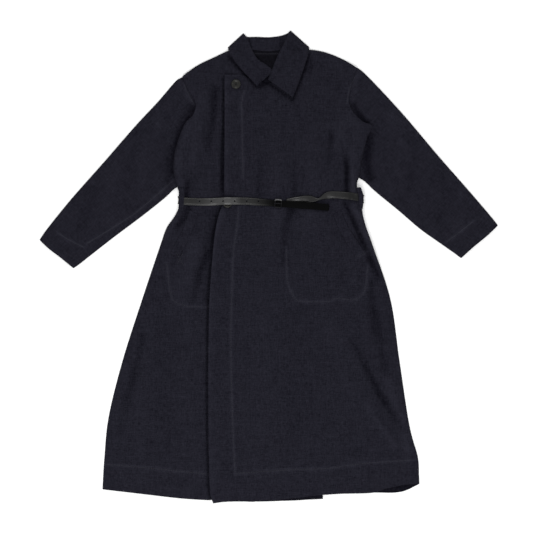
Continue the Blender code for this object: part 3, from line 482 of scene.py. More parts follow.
back = plan(BACK, BACK_TOP, BACK_HEM, BACK_CELL)
over_strap = 1 - smooth_step(np.abs(back.y / MM - STRAP_BUMP_Y), *STRAP_BUMP_SLOPE)
over_strap = over_strap * (1 - smooth_step(np.abs(back.x / MM), *STRAP_BUMP_END))
over_collar = smooth_step(back.y / MM, *COLLAR_BUMP_SLOPE)
over_collar = over_collar * (1 - smooth_step(np.abs(back.x / MM), *COLLAR_BUMP_END))
lying = np.maximum(STRAP_BUMP * over_strap, COLLAR_BUMP * over_collar)
# Painted shade: the whole inner side is darkened in colour, standing for the shadow inside the coat.
shade_inside = np.full(back.x.shape, BACK_SHADE)
back_panel = cloth_object("back_panel", back.x, back.y, (lying + CLOTH) * MM, (0, 1), CLOTH, shade_inside)
dress(back_panel, "back", navy_wool)

# Sleeves, in two halves each. The under half lies flat on the table, and the top half puffs over it
# and is folded down round both of its edges. A deep cuff hem is stitched up at the wrist.
SLEEVE_CELL = 4.2
UNDER_SLEEVE_CELL = 9.0
UNDER_SLEEVE_INSET = 4.0
UNDER_SLEEVE_SEAM = 2.0
# A folded edge is round with this radius, and stands this far over what it lies on. A free edge is
# only rolled, and no cloth goes lower than the last gap over the table.
TURN_RADIUS = 7.0
TURN_STAND = 1.1
ROLL_RADIUS = 2.6
ROLL_DROP = 0.7
TABLE_GAP = 0.1
# Near a folded edge the solid's height is read this far in. The last value keeps such an edge from
# counting as free.
SOLID_INSET = 9.0
FOLD_AWAY = 99
# Rounds of softening: of the solid's form, of the layers below and of the laid cloth.
FORM_SOFT = 26
UNDER_SOFT = 3
LAID_SOFT = 2
# A hem's two layers are this much thicker than one, and the step at its stitch line is this long.
HEM_RISE = 0.7
HEM_STEP = 5.0
# Cloth puffs up within this distance of its edges, and the belt presses it down within this distance
# of itself.
PUFF_RUN = 60.0
PRESS_RUN = 34.0
# A stitched line pulls the cloth down by this much, and rubs pale about this far to each side.
SEAM_DEPTH = 0.6
RUB_WIDTH = 3.3
# Painted light: ridges are painted paler as highlight and hollows darker as shade, in proportion to their
# height.
SEAM_WEAR = 0.75
FOLD_SHADE_PER_MM = 0.11

Crease = namedtuple("Crease", "path half_width start end")

SLEEVE_LEFT = (
    Rung(207, 505, 0, 214, 230, 0),
    Rung(228, 494, 1, 228, 221.5, 1),
    Rung(249, 475, 1, 242, 212.5, 1),
    Rung(292, 430, 1, 269, 187, 1),
    Rung(348, 368, 1, 324, 142, 1),
    Rung(423, 279, 1, 379, 95, 1),
    Rung(502, 189, 1, 431, 58, 1),
    Rung(555, 127, 1, 464, 35, 1),
    Rung(573, 104, 1, 481, 22, 1),
)
SLEEVE_LEFT_HEAD = (
    Spot(207, 505), Spot(196, 450), Spot(192, 405), Spot(208, 350), Spot(214, 290), Spot(214, 230),
)
SLEEVE_LEFT_CUFF = (
    Spot(573, 104), Spot(547, 79), Spot(512, 50), Spot(481, 22),
)
# Deep troughs beside the front's edge stand for its shadow: their depth also paints shade into the colour.
SLEEVE_LEFT_CREASES = (
    Crease(((229, 490), (214, 452), (210, 412)), 6, 2.6, 2.0),
    Crease(((252, 326), (248, 298), (246, 268), (248, 240), (252, 224)), 11, -9, -9),
    Crease(((215, 404), (225, 383), (236, 368), (247, 360)), 7, -7, -9),
    Crease(((266, 348), (279, 322), (300, 290)), 8, -3, 0),
    Crease(((300, 380), (330, 330), (352, 262)), 16, 2.5, 1),
    Crease(((350, 330), (362, 268), (352, 190)), 12, -1, -2),
    Crease(((420, 250), (440, 190), (424, 120)), 12, -1.5, -2),
    Crease(((480, 180), (486, 130), (466, 90)), 10, 1.5, 1.5),
)
SLEEVE_RIGHT = (
    Rung(-204, 479, 0, -217, 204, 0),
    Rung(-219, 472.5, 1, -229, 199, 1),
    Rung(-234, 462, 1, -240, 191, 1),
    Rung(-277, 412, 1, -261, 171, 1),
    Rung(-333, 352, 1, -319, 125, 1),
    Rung(-413, 260, 1, -387, 74, 1),
    Rung(-491, 172, 1, -437, 35, 1),
    Rung(-551, 98, 1, -470, 9, 1),
    Rung(-572, 68, 1, -487, -3, 1),
)
SLEEVE_RIGHT_HEAD = (
    Spot(-204, 479), Spot(-190, 440), Spot(-174, 404), Spot(-190, 350), Spot(-208, 285),
    Spot(-217, 204),
)
SLEEVE_RIGHT_CUFF = (
    Spot(-572, 68), Spot(-549, 46), Spot(-519, 23), Spot(-487, -3),
)
# Deep troughs beside the front's edge stand for its shadow: their depth also paints shade into the colour.
SLEEVE_RIGHT_CREASES = (
    Crease(((-223, 468), (-209, 441), (-190, 405)), 6, 2.6, 2.0),
    Crease(
        ((-190, 398), (-200, 374), (-217, 350), (-230, 314), (-243, 275), (-248, 240), (-247, 212)),
        12, -5, -5,
    ),
    Crease(((-188, 398), (-195, 376), (-213, 356), (-232, 308), (-239, 268), (-240, 230)), 5, -3, -4),
    Crease(((-290, 340), (-330, 280), (-345, 210)), 14, -2, -1),
    Crease(((-270, 370), (-312, 300), (-318, 220)), 15, 2, 2),
    Crease(((-420, 200), (-450, 150), (-470, 110)), 12, -1.5, -2),
    Crease(((-380, 250), (-404, 180), (-398, 120)), 14, 1.5, 1.5),
)
UNDER_HEAD_LEFT = ((217, 490), (206, 450), (203, 410), (220, 338), (223, 272), (219, 232))
UNDER_HEAD_RIGHT = ((-212, 472), (-200, 442), (-190, 408), (-200, 350), (-216, 280), (-225, 222))
CUFF_DEPTH = 56.0
LEFT_ARMHOLE_STITCH = ((217, 477), (207, 456), (199, 432), (196, 406))
RIGHT_ARMHOLE_STITCH = ((-211, 455), (-200, 432), (-188, 410))
SLEEVE_SEAMS = (
    ((444, 62), (478, 88), (511, 115)),
    ((-526, 85), (-494, 66), (-461, 49)),
    ((-454, 58), (-354, 120), (-304, 158), (-239, 215)),
    LEFT_ARMHOLE_STITCH,
    RIGHT_ARMHOLE_STITCH,
)
LEFT_GRAIN = (0.735, -0.678)
RIGHT_GRAIN = (-0.735, -0.678)


def moved_in(rung, inset):
    """A line across a panel with both ends moved in and neither folded down."""
    start, end = Vector(rung[0:2]), Vector(rung[3:5])
    step = (end - start).normalized() * inset
    return Rung(*(start + step), 0, *(end - step), 0)


def from_path(x, y, path):
    """Distance in millimetres of each place from a smooth path, and the path's share at its nearest point."""
    places = np.stack([x / MM - PLAN_X, y / MM - PLAN_Y], axis=-1)
    line = smooth_line(path, pieces=6)
    nearest = np.full(x.shape, np.inf)
    share = np.zeros_like(x)
    for k, (a, b) in enumerate(zip(line, line[1:])):
        t = np.clip((places - a) @ (b - a) / ((b - a) @ (b - a)), 0, 1)
        away = np.linalg.norm(places - a - t[..., None] * (b - a), axis=-1)
        closer = away < nearest
        nearest[closer] = away[closer]
        share[closer] = (k + t[closer]) / (len(line) - 1)
    return nearest, share


def creased(x, y, creases):
    """Height of some creases at each place: each is a soft trough or ridge along its path."""
    total = np.zeros_like(x)
    for crease in creases:
        nearest, share = from_path(x, y, crease.path)
        height = crease.start + (crease.end - crease.start) * share
        total += height * np.exp(-((nearest / crease.half_width) ** 2))
    return total


def rubbed(x, y, seams):
    """How far the cloth along some stitched lines is rubbed pale, from 0 to 1."""
    most = np.zeros_like(x)
    for path in seams:
        most = np.maximum(most, np.exp(-((from_path(x, y, path)[0] / RUB_WIDTH) ** 2)))
    return most


def folded_share(distance, amount, radius):
    """The share of its height that cloth has left near a folded edge."""
    inward = np.clip(1 - distance / radius, 0, 1)
    return 1 - amount * (1 - np.sqrt(1 - inward * inward))


def lay(
    name, node, grid, below, creases=(), seams=(), puff=0.0, press=0.0, bands=(), sunk=(), wall=CLOTH,
    grain=(0, 1), soft=FORM_SOFT,
):
    """A panel laid on the pieces below it, on its solid's form, with its creases, its stitched lines, its
    bands of doubled cloth, its folded edges and its rolled free edges."""
    along_x = np.gradient(grid.x, axis=1)
    along_y = np.gradient(grid.y, axis=1)
    run = np.hypot(along_x, along_y)
    from_left = np.clip(SOLID_INSET * grid.left_turn - grid.left, 0, None)
    from_right = np.clip(SOLID_INSET * grid.right_turn - grid.right, 0, None)
    inset = (from_left - from_right) * MM
    down_x = np.gradient(grid.x, axis=0)
    down_y = np.gradient(grid.y, axis=0)
    drop = np.hypot(down_x, down_y)
    lower = np.clip(SOLID_INSET * grid.top_turn - grid.top, 0, None) * MM
    solid = solid_tops(
        node,
        grid.x + inset * along_x / run + lower * down_x / drop,
        grid.y + inset * along_y / run + lower * down_y / drop,
    )
    under = laid_tops(below, grid.x, grid.y) / MM
    z = softened(solid / MM, soft)
    edge = np.minimum(np.minimum(grid.left, grid.right), np.minimum(grid.top, grid.hem))
    belted = np.exp(-((grid.y / MM - STRAP_BUMP_Y) / PRESS_RUN) ** 2)
    relief = creased(grid.x, grid.y, creases)
    z = z + puff * smooth_step(edge, 0, PUFF_RUN) * (1 - press * belted) + relief
    sewn = rubbed(grid.x, grid.y, seams)
    z = z - SEAM_DEPTH * sewn
    # Painted shade and highlight: a crease's depth darkens the colour and a ridge's height lightens it.
    wear_and_shade = np.clip(SEAM_WEAR * sewn + FOLD_SHADE_PER_MM * relief, -1, 1)
    for distance, depth in bands:
        z = z + HEM_RISE * (1 - smooth_step(distance, depth - HEM_STEP / 2, depth + HEM_STEP / 2))
    z = np.maximum(z, softened(under, UNDER_SOFT) + wall + GAP)
    z = np.maximum(softened(z, LAID_SOFT), under + wall + GAP)
    share = folded_share(grid.left, grid.left_turn, TURN_RADIUS)
    share = share * folded_share(grid.right, grid.right_turn, TURN_RADIUS)
    share = share * folded_share(grid.top, grid.top_turn, TURN_RADIUS)
    low = under + TURN_STAND
    z = np.minimum(z, low + (z - low) * share)
    free = np.minimum(grid.left + FOLD_AWAY * grid.left_turn, grid.right + FOLD_AWAY * grid.right_turn)
    free = np.minimum(free, np.minimum(grid.top + FOLD_AWAY * grid.top_turn, grid.hem))
    z = z - ROLL_DROP * (1 - folded_share(free, 1, ROLL_RADIUS)) + creased(grid.x, grid.y, sunk)
    z = np.maximum(z, wall + TABLE_GAP)
    return cloth_object(name, grid.x, grid.y, z * MM, grain, wall, wear_and_shade)


STITCH_PITCH = 4.2
STITCH_LENGTH = 3.5
THREAD_RADIUS = 0.6
THREAD_FLATNESS = 0.6
# A stitch's middle stands this share of the thread's radius over the cloth.
THREAD_STAND = 0.2


def stitches(name, lines, on):
    """A row of lockstitches along each line, lying on some laid pieces."""
    bm = bmesh.new()
    thread = THREAD_RADIUS * MM
    sized = Matrix.Diagonal((STITCH_LENGTH / 2 * MM, thread, thread * THREAD_FLATNESS, 1))
    for line in lines:
        curve = smooth_line(line)
        steps = lengths(curve)
        marks = spaced(curve, steps, np.arange(STITCH_PITCH / 2, steps.sum(), STITCH_PITCH / 2))
        x, y = placed(*marks.T)
        z = laid_tops(on, x, y)
        for k in range(0, len(marks) - 2, 2):
            if z[k : k + 3].min() < CLOTH * MM:
                continue
            start = Vector((x[k], y[k], z[k]))
            end = Vector((x[k + 2], y[k + 2], z[k + 2]))
            middle = Vector((x[k + 1], y[k + 1], z[k + 1] + thread * THREAD_STAND))
            turned = (end - start).to_track_quat("X", "Z").to_matrix().to_4x4()
            bmesh.ops.create_uvsphere(
                bm, u_segments=6, v_segments=4, radius=1, matrix=Matrix.Translation(middle) @ turned @ sized
            )
    piece = new_object(name, bm, smooth=True)
    piece.data.materials.append(navy_thread)
    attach(piece, "root")


THREAD_TWISTS = 900.0
THREAD_COLOUR = (0.0144, 0.0146, 0.0200, 1)
THREAD_SHADOW = (0.0088, 0.0090, 0.0128, 1)
navy_thread, shader, shade = new_material("navy_thread", roughness=0.6, specular=0.25)
where = shade.add("ShaderNodeTexCoord", {}, {}, output=3)
twist = where.noise(scale=THREAD_TWISTS, detail=1.0)
mixed(shade, twist, THREAD_SHADOW, THREAD_COLOUR).into(shader.inputs["Base Color"])

for side, rungs, head, cuff, grain in (
    ("left", SLEEVE_LEFT, UNDER_HEAD_LEFT, SLEEVE_LEFT_CUFF, LEFT_GRAIN),
    ("right", SLEEVE_RIGHT, UNDER_HEAD_RIGHT, SLEEVE_RIGHT_CUFF, RIGHT_GRAIN),
):
    seam = UNDER_SLEEVE_SEAM if side == "left" else -UNDER_SLEEVE_SEAM
    inner = [moved_in(rung, UNDER_SLEEVE_INSET) for rung in rungs]
    top = [Spot(x + seam, y) for x, y in head]
    inner[0] = Rung(top[0].x, top[0].y, 0, top[-1].x, top[-1].y, 0)
    foot = (Spot(*inner[-1][0:2]), *cuff[1:-1], Spot(*inner[-1][3:5]))
    grid = plan(inner, top, foot, UNDER_SLEEVE_CELL)
    level = np.full(grid.x.shape, CLOTH * MM)
    under = cloth_object(f"sleeve_{side}_lower_half", grid.x, grid.y, level, grain, CLOTH)
    dress(under, f"sleeve_{side}_under", navy_wool)

for side, rungs, head, cuff, creases, grain in (
    ("left", SLEEVE_LEFT, SLEEVE_LEFT_HEAD, SLEEVE_LEFT_CUFF, SLEEVE_LEFT_CREASES, LEFT_GRAIN),
    ("right", SLEEVE_RIGHT, SLEEVE_RIGHT_HEAD, SLEEVE_RIGHT_CUFF, SLEEVE_RIGHT_CREASES, RIGHT_GRAIN),
):
    grid = plan(rungs, head, cuff, SLEEVE_CELL)
    lower_half = f"sleeve_{side}_lower_half"
    sleeve = lay(
        f"sleeve_{side}", f"sleeve_{side}_top", grid, ("back_panel", lower_half), creases=creases,
        seams=SLEEVE_SEAMS, puff=1.5, bands=((grid.hem, CUFF_DEPTH),), grain=grain,
    )
    dress(sleeve, f"sleeve_{side}_top", navy_wool)

stitches("stitching_sleeves", SLEEVE_SEAMS, ("sleeve_left", "sleeve_right"))

# Neck lining. A smooth dark lining lies inside the back neck, below the collar stand, and shows in the
# V of the fronts. It is sewn to the back neck with a seam.
LINING = 1.0
NECK = (
    Rung(-60, 546, 0, 56, 547, 0),
    Rung(-64, 505, 0, 62, 505, 0),
    Rung(-50, 470, 0, 55, 470, 0),
)
NECK_TOP = (Spot(-60, 546), Spot(-1, 545), Spot(56, 547))
NECK_FOOT = (Spot(-50, 470), Spot(0, 462), Spot(55, 470))
NECK_CELL = 2.6
NECK_SEAM = (((-50, 534), (-1, 532), (48, 534)),)
LINING_DARK = (0.0006, 0.0006, 0.0010, 1)
LINING_PALE = (0.0066, 0.0063, 0.0095, 1)
dark_lining = wool("dark_lining", LINING_DARK, LINING_PALE)

neck_lining = lay(
    "neck_lining", "neck_facing", plan(NECK, NECK_TOP, NECK_FOOT, NECK_CELL), ("back_panel",),
    seams=NECK_SEAM, wall=LINING,
)
dress(neck_lining, "neck_facing", dark_lining)
stitches("stitching_neck", NECK_SEAM, ("neck_lining",))

# Pocket bags. Each is a flat bag of lining between a front and the layer under it, caught by the
# pocket stitching. None of it shows.
BAG_CELL = 9.0
BAG_SOFT = 2
BAG_RIGHT = (
    Rung(-190, 126, 0, -100, 128, 0),
    Rung(-246, 20, 0, -90, 20, 0),
    Rung(-246, -60, 0, -90, -60, 0),
    Rung(-232, -88, 0, -96, -94, 0),
    Rung(-205, -98, 0, -120, -100, 0),
)
BAG_LEFT = (
    Rung(46, 130, 0, 170, 128, 0),
    Rung(44, 20, 0, 232, 20, 0),
    Rung(46, -45, 0, 240, -45, 0),
    Rung(62, -80, 0, 226, -80, 0),
    Rung(90, -86, 0, 205, -84, 0),
)


def straight_plan(rungs, cell):
    """The grid of a panel whose top and foot are straight."""
    top, foot = [(Spot(*rung[0:2]), Spot(*rung[3:5])) for rung in (rungs[0], rungs[-1])]
    return plan(rungs, top, foot, cell)


def pocket_bag(side, rungs, below):
    """A bag of lining on the layers below it."""
    name = f"pocket_bag_{side}"
    grid = straight_plan(rungs, BAG_CELL)
    bag = lay(f"pocket_lining_{side}", name, grid, below, wall=LINING, soft=BAG_SOFT)
    dress(bag, name, dark_lining)


pocket_bag("right", BAG_RIGHT, ("back_panel",))

# Right front. It lies under the left one, from the side fold to a hidden edge well past the middle.
# Its armhole lies on the sleeve, its shoulder and side are folded down, and its hem is stitched up.
FRONT_CELL = 2.8
FRONT_ROW_CELL = 5.6
RIGHT_FRONT = (
    Rung(-215, 476, 0.0, 39, 458, 0),
    Rung(-201, 442, 0.0, 41, 428, 0),
    Rung(-182, 408, 0.0, 44, 392, 0),
    Rung(-188, 380, 0.2, 46, 371, 0),
    Rung(-209, 358, 0.6, 50, 349, 0),
    Rung(-229, 308, 1.0, 57, 302, 0),
    Rung(-237, 270, 1.0, 62, 264, 0),
    Rung(-237, 238, 1.0, 66, 236, 0),
    Rung(-228, 200, 1.0, 69, 200, 0),
    Rung(-219, 166, 1.0, 71, 164, 0),
    Rung(-234, 128, 1.0, 74, 128, 0),
    Rung(-255, 97, 1.0, 76, 97, 0),
    Rung(-271, 52, 1.0, 79, 50, 0),
    Rung(-316, -82, 1.0, 89, -90, 0),
    Rung(-364, -232, 1.0, 101, -248, 0),
    Rung(-399, -372, 1.0, 119, -402, 0),
    Rung(-410, -474, 1.0, 128, -490, 0),
    Rung(-415, -555, 1.0, 136, -579, 0),
)
RIGHT_FRONT_TOP = (
    Spot(-215, 476), Spot(-179, 503, 1), Spot(-136, 524, 1), Spot(-94, 542, 1), Spot(-71, 534),
    Spot(-46, 512), Spot(-16, 488), Spot(39, 458),
)
RIGHT_FRONT_HEM = (
    Spot(-415, -555), Spot(-304, -568), Spot(-204, -579), Spot(-96, -584), Spot(-9, -586),
    Spot(136, -579),
)
RIGHT_HEM_DEPTH = 66.0
RIGHT_HEM_STITCH = ((-409, -492), (-304, -501), (-154, -516), (-140, -517))
RIGHT_POCKET_STITCH = (
    (-254, 10), (-250, -28), (-246, -58), (-239, -81), (-221, -92), (-196, -98), (-146, -100),
)
RIGHT_POCKET_CROSS = (((-231, 38), (-211, 3)), ((-212, 36), (-229, 5)))
RIGHT_SEAMS = (RIGHT_HEM_STITCH, RIGHT_POCKET_STITCH, RIGHT_ARMHOLE_STITCH)
# Narrow deep troughs by the left front's edge and hem, by the collar's left leaf and between the collar's
# points stand for shadows there: their depth also paints shade into the colour.
RIGHT_FRONT_CREASES = (
    Crease(((-134, 446), (-136, 400), (-140, 365), (-148, 330), (-152, 290)), 8, -6, -3),
    Crease(((-172, 430), (-180, 352), (-188, 270)), 16, 2.5, 3),
    Crease(((-110.5, 474), (-111, 400), (-111.5, 330)), 3, -5, -7),
    Crease(((-111.5, 330), (-113, 260), (-114.5, 186)), 5, -7, -9),
    Crease(((-118, 148), (-129, 112), (-137, 70), (-143, 10), (-149, -82)), 4, -9, -6),
    Crease(((-126, 140), (-138, 100), (-146, 50), (-150, 10)), 12, -3, -2),
    Crease(((-98, 523), (-73, 497), (-48, 470), (-31, 449)), 4, -8, -8),
    Crease(((-14, 460), (0, 474)), 12, -10, -10),
    Crease(((-200, 216), (-203, 200), (-204, 176)), 6, -5, -9),
    Crease(((-198, 152), (-208, 128), (-229, 97)), 7, -8, -4),
    Crease(((-224, 146), (-240, 104), (-258, 70)), 10, 3, 2),
    Crease(((-151, 36), (-167, -4), (-178, -42), (-189, -85)), 7, -6, -2),
    Crease(((-184, 60), (-206, -30), (-226, -110)), 20, 3.5, 1),
    Crease(
        ((-149.5, -82), (-152.5, -232), (-152, -395), (-150.5, -485), (-147.5, -560), (-140, -586)),
        2.7, -6, -7,
    ),
    Crease(((-30, -588), (60, -578), (137, -570)), 5, -7, -7),
    Crease(((-200, 352), (-222, 282), (-224, 240), (-216, 206)), 10, 3, 4),
    Crease(((-316, -168), (-324, -225), (-340, -280), (-356, -350)), 9, -4, -3),
    Crease(((-300, -120), (-322, -260), (-330, -420)), 24, 1.0, 0.6),
    Crease(((-250, -150), (-262, -300), (-250, -440)), 24, -0.8, -0.8),
    Crease(((-204, -140), (-206, -300), (-200, -450)), 22, 0.8, 0.6),
)

RIGHT_ARMHOLE = (Crease(((-215, 476), (-201, 442), (-182, 408)), 6, -2.2, -2.0),)

grid = plan(RIGHT_FRONT, RIGHT_FRONT_TOP, RIGHT_FRONT_HEM, FRONT_CELL, FRONT_ROW_CELL)
front_under = lay(
    "front_under", "front_right", grid,
    ("back_panel", "sleeve_right", "neck_lining", "pocket_lining_right"),
    creases=RIGHT_FRONT_CREASES, seams=RIGHT_SEAMS, puff=3.0, press=0.8,
    bands=((grid.hem, RIGHT_HEM_DEPTH),), sunk=RIGHT_ARMHOLE,
)
dress(front_under, "front_right", navy_wool)
stitches("stitching_front_under", RIGHT_SEAMS, ("front_under",))
pocket_bag("left", BAG_LEFT, ("back_panel", "front_under"))

# Left front. It laps over the right one with a free edge that stands off it, stitched back in a deep
# placket. The belt gathers it into soft folds, and the deepest one runs from the armhole through the
# waist at the left side.
LEFT_FRONT = (
    Rung(-109.5, 479, 0, 221, 497, 0.0),
    Rung(-109.5, 448, 0, 206, 452, 0.0),
    Rung(-109.5, 415, 0, 202, 410, 0.0),
    Rung(-109.5, 390, 0, 211, 386, 0.0),
    Rung(-109.5, 368, 0, 235, 363, 0.1),
    Rung(-109.5, 354, 0, 258, 352, 0.4),
    Rung(-109.5, 322, 0, 247, 322, 0.8),
    Rung(-110, 272, 0, 234, 270, 1.0),
    Rung(-110, 238, 0, 228, 232, 1.0),
    Rung(-110, 202, 0, 221, 203, 1.0),
    Rung(-112, 166, 0, 231, 168, 1.0),
    Rung(-124.5, 128, 0, 236, 130, 1.0),
    Rung(-131, 97, 0, 245, 97, 1.0),
    Rung(-137, 52, 0, 261, 52, 1.0),
    Rung(-147, -82, 0, 305, -82, 1.0),
    Rung(-150, -232, 0, 327, -232, 1.0),
    Rung(-150, -395, 0, 352, -395, 1.0),
    Rung(-148.5, -485, 0, 373, -474, 1.0),
    Rung(-146, -558, 0, 376, -520, 1.0),
    Rung(-138, -589, 0, 377, -542, 1.0),
)
LEFT_FRONT_TOP = (
    Spot(-109.5, 479), Spot(-64, 479), Spot(-16, 462), Spot(6, 462), Spot(26, 490), Spot(49, 520),
    Spot(86, 542, 1), Spot(136, 538, 1), Spot(188, 518, 1), Spot(221, 497),
)
LEFT_FRONT_HEM = (
    Spot(-138, -589), Spot(-100, -585), Spot(0, -583), Spot(141, -568), Spot(255, -564),
    Spot(292, -554), Spot(338, -544), Spot(377, -542),
)
LEFT_HEM_DEPTH = 67.0
PLACKET_DEPTH = 54.0
LEFT_HEM_STITCH = ((-84, -514), (56, -505), (146, -502), (221, -492), (286, -486), (366, -481))
PLACKET_STITCH_TOP = ((-61, 438), (-67, 410), (-66, 378), (-65, 292), (-63, 222))
PLACKET_STITCH = ((-74, 150), (-80, 90), (-88, 28), (-91, -55), (-94, -185), (-90, -358), (-84, -512))
LEFT_POCKET_STITCH = (
    (44, 48), (45, 18), (47, -35), (56, -60), (69, -81), (81, -85), (121, -87), (151, -85), (168, -78),
    (191, -80), (214, -82), (231, -72), (242, -50), (246, -12), (249, 5),
)
LEFT_POCKET_BAR = ((219, 25), (247, 37))
LEFT_SEAMS = (LEFT_HEM_STITCH, PLACKET_STITCH_TOP, PLACKET_STITCH, LEFT_POCKET_STITCH, LEFT_ARMHOLE_STITCH)
# Narrow deep troughs along the collar leaves' edges and between their points stand for the collar's shadow:
# their depth also paints shade into the colour.
LEFT_FRONT_CREASES = (
    Crease(((-24, 280), (-22, 240), (-24, 182)), 7, -1, -3.5),
    Crease(((64, 260), (62, 222), (66, 182)), 7, -1, -4),
    Crease(((20, 300), (22, 240), (20, 194)), 16, 1, 2.5),
    Crease(((110, 320), (108, 250), (112, 194)), 18, 1, 2.5),
    Crease(((156, 328), (154, 300), (155, 268)), 5, -4.5, -3),
    Crease(((182, 354), (178, 318), (188, 284)), 14, 3.5, 3),
    Crease(((181, 308), (190, 276), (195, 245), (195, 186)), 4.8, -3, -12),
    Crease(((212, 300), (211, 250), (209, 190)), 10, 2.5, 6),
    Crease(((190, 160), (205, 130), (224, 88), (243, 46), (262, 5), (275, -22)), 4, -10, -4),
    Crease(((252, 20), (262, -6), (276, -40)), 8, -4, -2),
    Crease(((258, -40), (262, -140), (268, -180)), 8, -4, -2.5),
    Crease(((214, 150), (232, 108), (252, 62), (276, 12)), 10, 6, 3),
    Crease(((200, 384), (214, 352), (226, 320)), 11, 3.5, 1.5),
    Crease(((57, 145), (48, 116), (40, 73), (39, 6)), 9, -6, -3),
    Crease(((22, 142), (8, 90), (0, 30)), 18, 3, 0.5),
    Crease(((106, 142), (98, 90), (92, 40)), 20, 3, 0.5),
    Crease(((208, -186), (232, -226), (250, -261), (274, -309), (290, -335)), 7, -3, -8),
    Crease(((294, -342), (312, -368), (334, -400)), 9, -5, -4),
    Crease(((268, -110), (279, -180), (288, -235), (295, -264)), 8, -4.5, -2),
    Crease(((241, -338), (276, -391), (321, -448)), 9, 3, 3.5),
    Crease(((300, -290), (330, -380), (348, -455)), 13, 3, 4),
    Crease(((150, -140), (178, -236), (206, -340)), 24, 1.2, 0.6),
    Crease(((60, -120), (70, -260), (64, -420)), 28, -0.8, -0.6),
    Crease(((-20, -60), (-14, -220), (-20, -430)), 32, 0.8, 0.5),
    Crease(((-73, 497), (-48, 470), (-31, 449)), 4, -8, -8),
    Crease(((-6, 462), (25, 441), (58, 418)), 4, -8, -7),
    Crease(((100, 530), (93, 505), (85.5, 483), (77.5, 461), (69.5, 440), (62, 421)), 4, -7, -8),
    Crease(((106, 512), (100, 484)), 9, -3.5, -3),
    Crease(((-20, 452), (2, 466)), 8, -9, -9),
    Crease(((-107, 474), (-107.5, 330), (-108, 200)), 9, 3, 4.5),
    Crease(((-120, 138), (-133, 70), (-141, 0), (-145, -90)), 11, 6.0, 3),
    Crease(((-147.5, -90), (-148.5, -240), (-147, -400), (-140, -585)), 9, 3, 2),
)

LEFT_ARMHOLE = (Crease(((217, 490), (206, 452), (203, 412)), 6, -2.2, -2.0),)

grid = plan(LEFT_FRONT, LEFT_FRONT_TOP, LEFT_FRONT_HEM, FRONT_CELL, FRONT_ROW_CELL)
front_over = lay(
    "front_over", "front_left", grid,
    ("back_panel", "sleeve_left", "neck_lining", "front_under", "pocket_lining_left"),
    creases=LEFT_FRONT_CREASES, seams=(*LEFT_SEAMS, LEFT_POCKET_BAR), puff=4.0, press=0.8,
    bands=((grid.hem, LEFT_HEM_DEPTH), (grid.left, PLACKET_DEPTH)), sunk=LEFT_ARMHOLE,
)
dress(front_over, "front_left", navy_wool)
stitches("stitching_front_over", LEFT_SEAMS, ("front_over",))

# Pocket welts. Each slanting pocket has a narrow folded strip of the same cloth along its opening,
# sewn down at both ends.
WELT = 1.2
WELT_CELL = 3.0
WELT_SOFT = 6
WELT_RIGHT = (
    Rung(-196, 142, 0, -176, 132, 0),
    Rung(-213, 96, 0, -191, 86, 0),
    Rung(-246, 34, 0, -223, 22, 0),
)
WELT_LEFT = (
    Rung(161, 132, 0, 181, 142, 0),
    Rung(178, 88, 0, 200, 98, 0),
    Rung(216, 24, 0, 240, 36, 0),
)
POCKET_MARKS = (*RIGHT_POCKET_CROSS, LEFT_POCKET_BAR)
for side, rungs, front in (("right", WELT_RIGHT, "front_under"), ("left", WELT_LEFT, "front_over")):
    name = f"pocket_welt_{side}"
    grid = straight_plan(rungs, WELT_CELL)
    welt = lay(f"welt_{side}", name, grid, (front,), seams=(LEFT_POCKET_BAR,), wall=WELT, soft=WELT_SOFT)
    dress(welt, name, navy_wool)
stitches("stitching_pockets", POCKET_MARKS, ("front_under", "welt_right", "front_over", "welt_left"))

# Collar stand. The band inside the back neck, of the same cloth with its warp along the neck. It is sewn
# to the back, and the fall is folded over it, so that only its middle shows.
STAND = (
    Rung(-49, 573, 0, 44, 578, 0),
    Rung(-48, 555, 0, 44, 557, 0),
    Rung(-48, 543, 0, 44, 544, 0),
)
STAND_TOP = (Spot(-49, 573), Spot(0, 572), Spot(44, 578))
STAND_FOOT = (Spot(-48, 543), Spot(0, 541), Spot(44, 544))
# Both troughs stand for the shadows beside the collar's leaves, and paint shade into the colour.
STAND_CREASES = (
    Crease(((-47, 575), (-46, 540)), 4, -3, -3),
    Crease(((38, 576), (30, 540)), 5, -4, -4),
)
stand = lay(
    "stand_inside", "collar_stand", plan(STAND, STAND_TOP, STAND_FOOT, NECK_CELL),
    ("back_panel", "neck_lining"), creases=STAND_CREASES, grain=(1, 0),
)
dress(stand, "collar_stand", navy_wool)

# Collar fall. A stiffened double layer of the same cloth, folded over the stand: both leaves lie on the
# fronts and their points spread, and the fall goes round the neck and behind the back.
COLLAR_CLOTH = 2.0
COLLAR_CELL = 3.2
COLLAR_EDGE_LIFT = 4.0
# Its folded edge gets a little painted highlight over this distance, lightening its colour.
COLLAR_EDGE_HIGHLIGHT = 0.3
COLLAR_HIGHLIGHT_RUN = 7.0
# Rounds of softening: of what lies below it, and of the fall itself.
COLLAR_BED_SOFT = 8
COLLAR_SOFT = 4
# A strip that wraps round the coat drops about this far where it turns, which counts in its length.
UNDER_HEIGHT = 16.0
